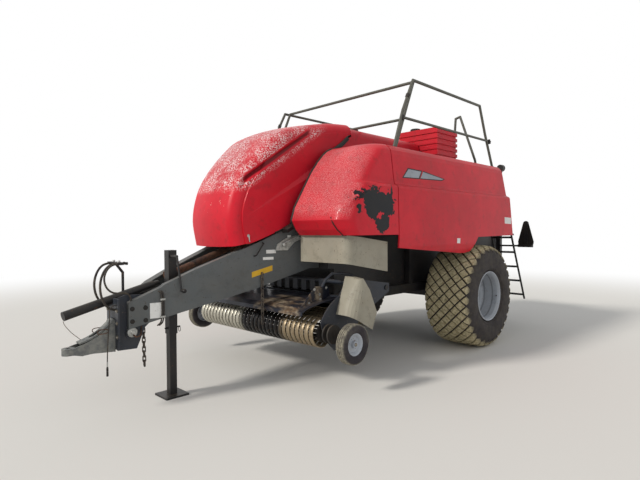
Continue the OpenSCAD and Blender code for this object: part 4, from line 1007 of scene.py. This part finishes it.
# Fittings on the left beam: a latch bracket, a handle, blank labels and a yellow strip
fit = Shape()
fit.prism([on_beam(x, z, .001) for x, z in ((3.14, 1.47), (2.99, 1.47), (2.9, 1.56), (2.8, 1.6), (2.88, 1.64),
    (3.02, 1.6), (3.12, 1.54))], (0, .014, 0))
for x, z in ((3.1, 1.5), (2.96, 1.56), (3.0, 1.5)):
    fit.bolt(on_beam(x, z, .015), BEAM_OUT, .012, .012)
fit.tube([on_beam(3.06, 1.545, .02), on_beam(2.96, 1.59, .045), on_beam(2.76, 1.69, .05)], .009, 10)
fit.lathe([(0, 0), (.02, 0), (.024, .008), (.024, .03), (.014, .036), (0, .036)], on_beam(3.04, 1.535, .014), BEAM_OUT,
    sides=28)
fit.make("latch_bracket", "zinc", smooth=30)
HANDLE = (
    (3.3, 1.56, .01), (3.3, 1.555, .034), (3.33, 1.52, .04), (3.39, 1.43, .04), (3.398, 1.42, .03), (3.4, 1.418, .002))
Shape().tube([on_beam(*p) for p in HANDLE], .007, 10).make("beam_handle", "black", smooth=50)
signs = Shape()
for x0, x1, z0, z1 in (
        (3.25, 3.13, 1.48, 1.44), (3.29, 3.16, 1.4, 1.37), (2.98, 2.935, 1.64, 1.57), (4.49, 4.38, 1.0, .85)):
    signs.prism([on_beam(x, z, -FILM_SUNK) for x, z in ((x0, z0), (x1, z0), (x1, z1), (x0, z1))], (.0003, .0016, 0))
signs.make("beam_labels", "white")
signs = Shape()
signs.prism([on_beam(x, z, -FILM_SUNK) for x, z in ((3.425, 1.182), (3.425, 1.242), (3.175, 1.306), (3.175, 1.246))],
    (.0003, .0018, 0))
signs.make("beam_strip", "yellow")

# Two pipes clipped over the left beam, a boss on the hitch, a shackle under it and the wire at the drive shaft
PIPE_LINE = [
    (4.47, .105, 1.035), (4.44, .16, 1.09), (4.4, .222, 1.108), (4.388, .232, 1.06), (4.384, .234, .98),
    (4.386, .234, .88), (4.396, .228, .81), (4.42, .205, .775)]
pipes, clips = Shape(), Shape()
for shift in (0, -.018):
    pipes.tube(smooth_line([at(x + shift, y - shift * BEAM_SLOPE, z) for x, y, z in PIPE_LINE], 5), .0075, 10)
for z in (1.03, .86):
    clips.block(at(4.352, .229, z - .009), at(4.402, .246, z + .009))
pipes.make("beam_pipes", "hose", smooth=60)
clips.make("pipe_clips", "zinc", bevel=.002)
Shape().lathe([(0, .062), (.03, .062), (.03, .12), (.046, .122), (.048, .128), (.048, .146), (.042, .152), (.02, .153),
    (.018, .16), (0, .16)], at(4.64, 0, .735), (0, 1, 0), sides=36).make("hitch_boss", "zinc")
SHACKLE = (
    (4.64, .165, .712), (4.61, .168, .69), (4.565, .15, .7), (4.54, .11, .74), (4.52, .08, .8), (4.504, .066, .866))
WIRE = ((5.203, 0, .898), (5.19, 0, .86), (5.14, .006, .79), (5.085, .01, .735), (5.062, .008, .712))
wires = Shape()
for line, r, sides in ((SHACKLE, .007, 10), (WIRE, .0025, 8)):
    wires.tube(smooth_line([at(*p) for p in line], 4), r, sides)
wires.make("hitch_wires", "rust", smooth=60)

# The jack: a knob on its crank and a pin with a ring through its sleeve
jack = Shape()
jack.lathe([(0, -.03), (.014, -.028), (.02, -.018), (.022, 0), (.02, .018), (.014, .028), (0, .03)],
    at(4.21, .345, 1.105), (0, 1, 0))
jack.rod(at(4.262, .045, .7), at(4.09, .045, .7), .0085, 12, .002)
ring = [at(4.098, .045 + .022 * cos(a), .672 + .024 * sin(a)) for a in turn(24)]
jack.tube(ring, .003, 8, loop=True)
jack.make("jack_pin_and_knob", "black", smooth=40)

# Pickup: convex faces on the bands, and bolts on the guard's brackets
PICKUP_C, BAND_R, BANDS_HALF, BAND_COUNT, BAND_HALF = (3.0, .61), .155, 1.08, 30, .027
arc = [(PICKUP_C[0] + BAND_R * cos(a), PICKUP_C[1] + BAND_R * sin(a), cos(a), sin(a))
       for a in map(radians, range(-98, 111, 6))]
last, back = arc[-1], (2.674, .799)
slant = Vector((back[0] - last[0], back[1] - last[1])).normalized()
arc += [(last[0] + slant.x * s, last[1] + slant.y * s, slant.y, -slant.x) for s in (.08, .16, .24, .272)]
crowns = Shape()
for i in range(BAND_COUNT):
    y0 = -BANDS_HALF + (i + .5) * 2 * BANDS_HALF / BAND_COUNT
    rows = []
    for x, z, nx, nz in arc:
        rows.append([at(x + nx * h, y0 + BAND_HALF * w, z + nz * h) for w, h in (
            (-1, -.001), (-.96, .002), (-.72, .0052), (-.35, .0072), (0, .0078), (.35, .0072), (.72, .0052),
            (.96, .002), (1, -.001))])
    crowns.grid(rows, wrap=True)
crowns.make("band_crowns", "band", "pickup", smooth=40)
bolts = Shape()
for x, z in ((2.915, .997), (2.993, 1.055), (2.9, .94), (2.811, 1.06), (3.075, .915), (3.15, .88)):
    for s in (1, -1):
        bolts.bolt(at(x, s * .94, z), (0, s, 0), .011, .009)
bolts.make("guard_bolts", "zinc", "pickup", smooth=25)

# Rear lamps, their lenses and the blank marker plate
LAMP_X = -2.1  # where the lamps and the marker plate stand
lens, amber, lamp_rims = Shape(), Shape(), Shape()
for s in (1, -1):
    c = at(-1.07, s * 1.2, 2.69)
    lens.lathe([(.048, 0), (.046, .005), (.03, .011), (0, .013)], c, (-1, 0, 0), sides=36)
    lamp_rims.lathe([(.048, -.004), (.049, .006), (.055, .006), (.0565, .002), (.0565, -.01), (.054, -.012)], c,
                    (-1, 0, 0), sides=36)
    lamp_rims.lathe([(.0565, .05), (.0572, .046), (.0572, .04), (.0565, .036)], at(-1.02, s * 1.2, 2.69),
                    (-1, 0, 0), sides=36)
    for shape, y0, y1 in ((lens, 1.052, 1.165), (amber, 1.18, 1.29)):
        ys = sorted((s * y0, s * y1))
        shape.block(at(LAMP_X - .046, ys[0], 1.376), at(LAMP_X - .0395, ys[1], 1.414))
lens.make("red_lenses", "lens_red", smooth=40, bevel=.0015)
amber.make("amber_lenses", "lens_amber", bevel=.0015)
lamp_rims.make("lamp_rims", "black", smooth=40)
PLATE_BACK, PLATE_FACE = LAMP_X - .015, LAMP_X - .0158
for name, mat, outline, thick in (
        ("marker_border", "lens_red", ((1.066, 1.434), (1.294, 1.434), (1.197, 1.834), (1.163, 1.834)), .0014),
        ("marker_face", "lens_amber", ((1.096, 1.456), (1.264, 1.456), (1.187, 1.78), (1.173, 1.78)), .0026)):
    Shape().prism([at(PLATE_FACE, y, z) for y, z in outline], (-thick, 0, 0)).make(name, mat)
Shape().prism([at(PLATE_BACK, y, z) for y, z in ((1.075, 1.4), (1.045, 1.425), (1.04, 1.47), (1.135, 1.82),
    (1.155, 1.836), (1.205, 1.836), (1.225, 1.82), (1.32, 1.47), (1.315, 1.425), (1.285, 1.4))],
    (.005, 0, 0)).make("marker_back", "black", bevel=.0015)

# Ladder: toothed treads on the rungs
treads = Shape()
RUNGS, TEETH = (.06, .28, .5, .72, .94), 14
for f in RUNGS:
    x, z = lerp(-1.43, -2.0, f), lerp(1.62, .46, f)
    treads.block(at(x - .02, .866, z + .01), at(x + .02, 1.184, z + .015))
    for k in range(TEETH):
        y = lerp(.88, 1.17, k / (TEETH - 1))
        for dx in (-.018, .012):
            treads.prism([at(x + dx, y - .007, z + .015), at(x + dx, y + .007, z + .015), at(x + dx, y, z + .024)],
                         (.006, 0, 0))
treads.make("ladder_treads", "dark")

# Handrails: clamps where the middle rail meets the legs
RAIL_Y, RAIL_R = 1.21, .019
clamps = Shape()
for s in (1, -1):
    for x0, z0, x1, z1 in ((1.7635, 3.03, 1.7412, 3.09), (-.5947, 3.03, -.5654, 3.09), (1.64, 3.322, 1.614, 3.371)):
        a, b = at(x0, s * RAIL_Y, z0), at(x1, s * RAIL_Y, z1)
        thin, wide = RAIL_R + .003, RAIL_R + .007
        clamps.tube([a, a.lerp(b, .1), a.lerp(b, .9), b], wide, 16, radii=[thin, wide, wide, thin])
        clamps.bolt(a.lerp(b, .5) + Vector((0, s * (RAIL_R + .006), 0)), (0, s, 0), .007, .007)
clamps.make("rail_clamps", "iron", smooth=30)

# Tank: a filler cap with grips round it
cap = Shape()
cap.lathe([(0, 0), (.085, 0), (.085, .012), (.074, .016), (.074, .046), (.066, .052), (0, .054)], at(.26, .42, 3.1995),
    (0, 0, 1), sides=40)
for a in turn(12):
    x, y = .26 + .074 * cos(a), .42 + .074 * sin(a)
    cap.tube([at(x, y, 3.217), at(x, y, 3.243)], .006, 8)
cap.make("tank_cap", "black")

# A strap that holds the left corner panel down, and a latch on the hood's lower edge
STRAP = (
    (3.062, 1.256, 1.828), (3.062, 1.27, 1.79), (3.046, 1.28, 1.75), (3.012, 1.296, 1.7), (2.972, 1.314, 1.66),
    (2.95, 1.32, 1.64), (2.9, 1.32, 1.638))
Shape().tube([at(*p) for p in STRAP], .007, 8).make("corner_strap", "black", smooth=50)
latch = Shape()
latch.lathe([(0, 0), (.018, 0), (.018, .004), (.01, .006), (.01, .012), (0, .013)], at(3.5, .4545, 1.64), (.1, 1, 0),
    sides=20)
latch.tube([at(3.5, .462, 1.64), at(3.498, .466, 1.6), at(3.492, .467, 1.575)], .006, 8)
latch.make("hood_latch", "zinc", "nose_hood", smooth=40)
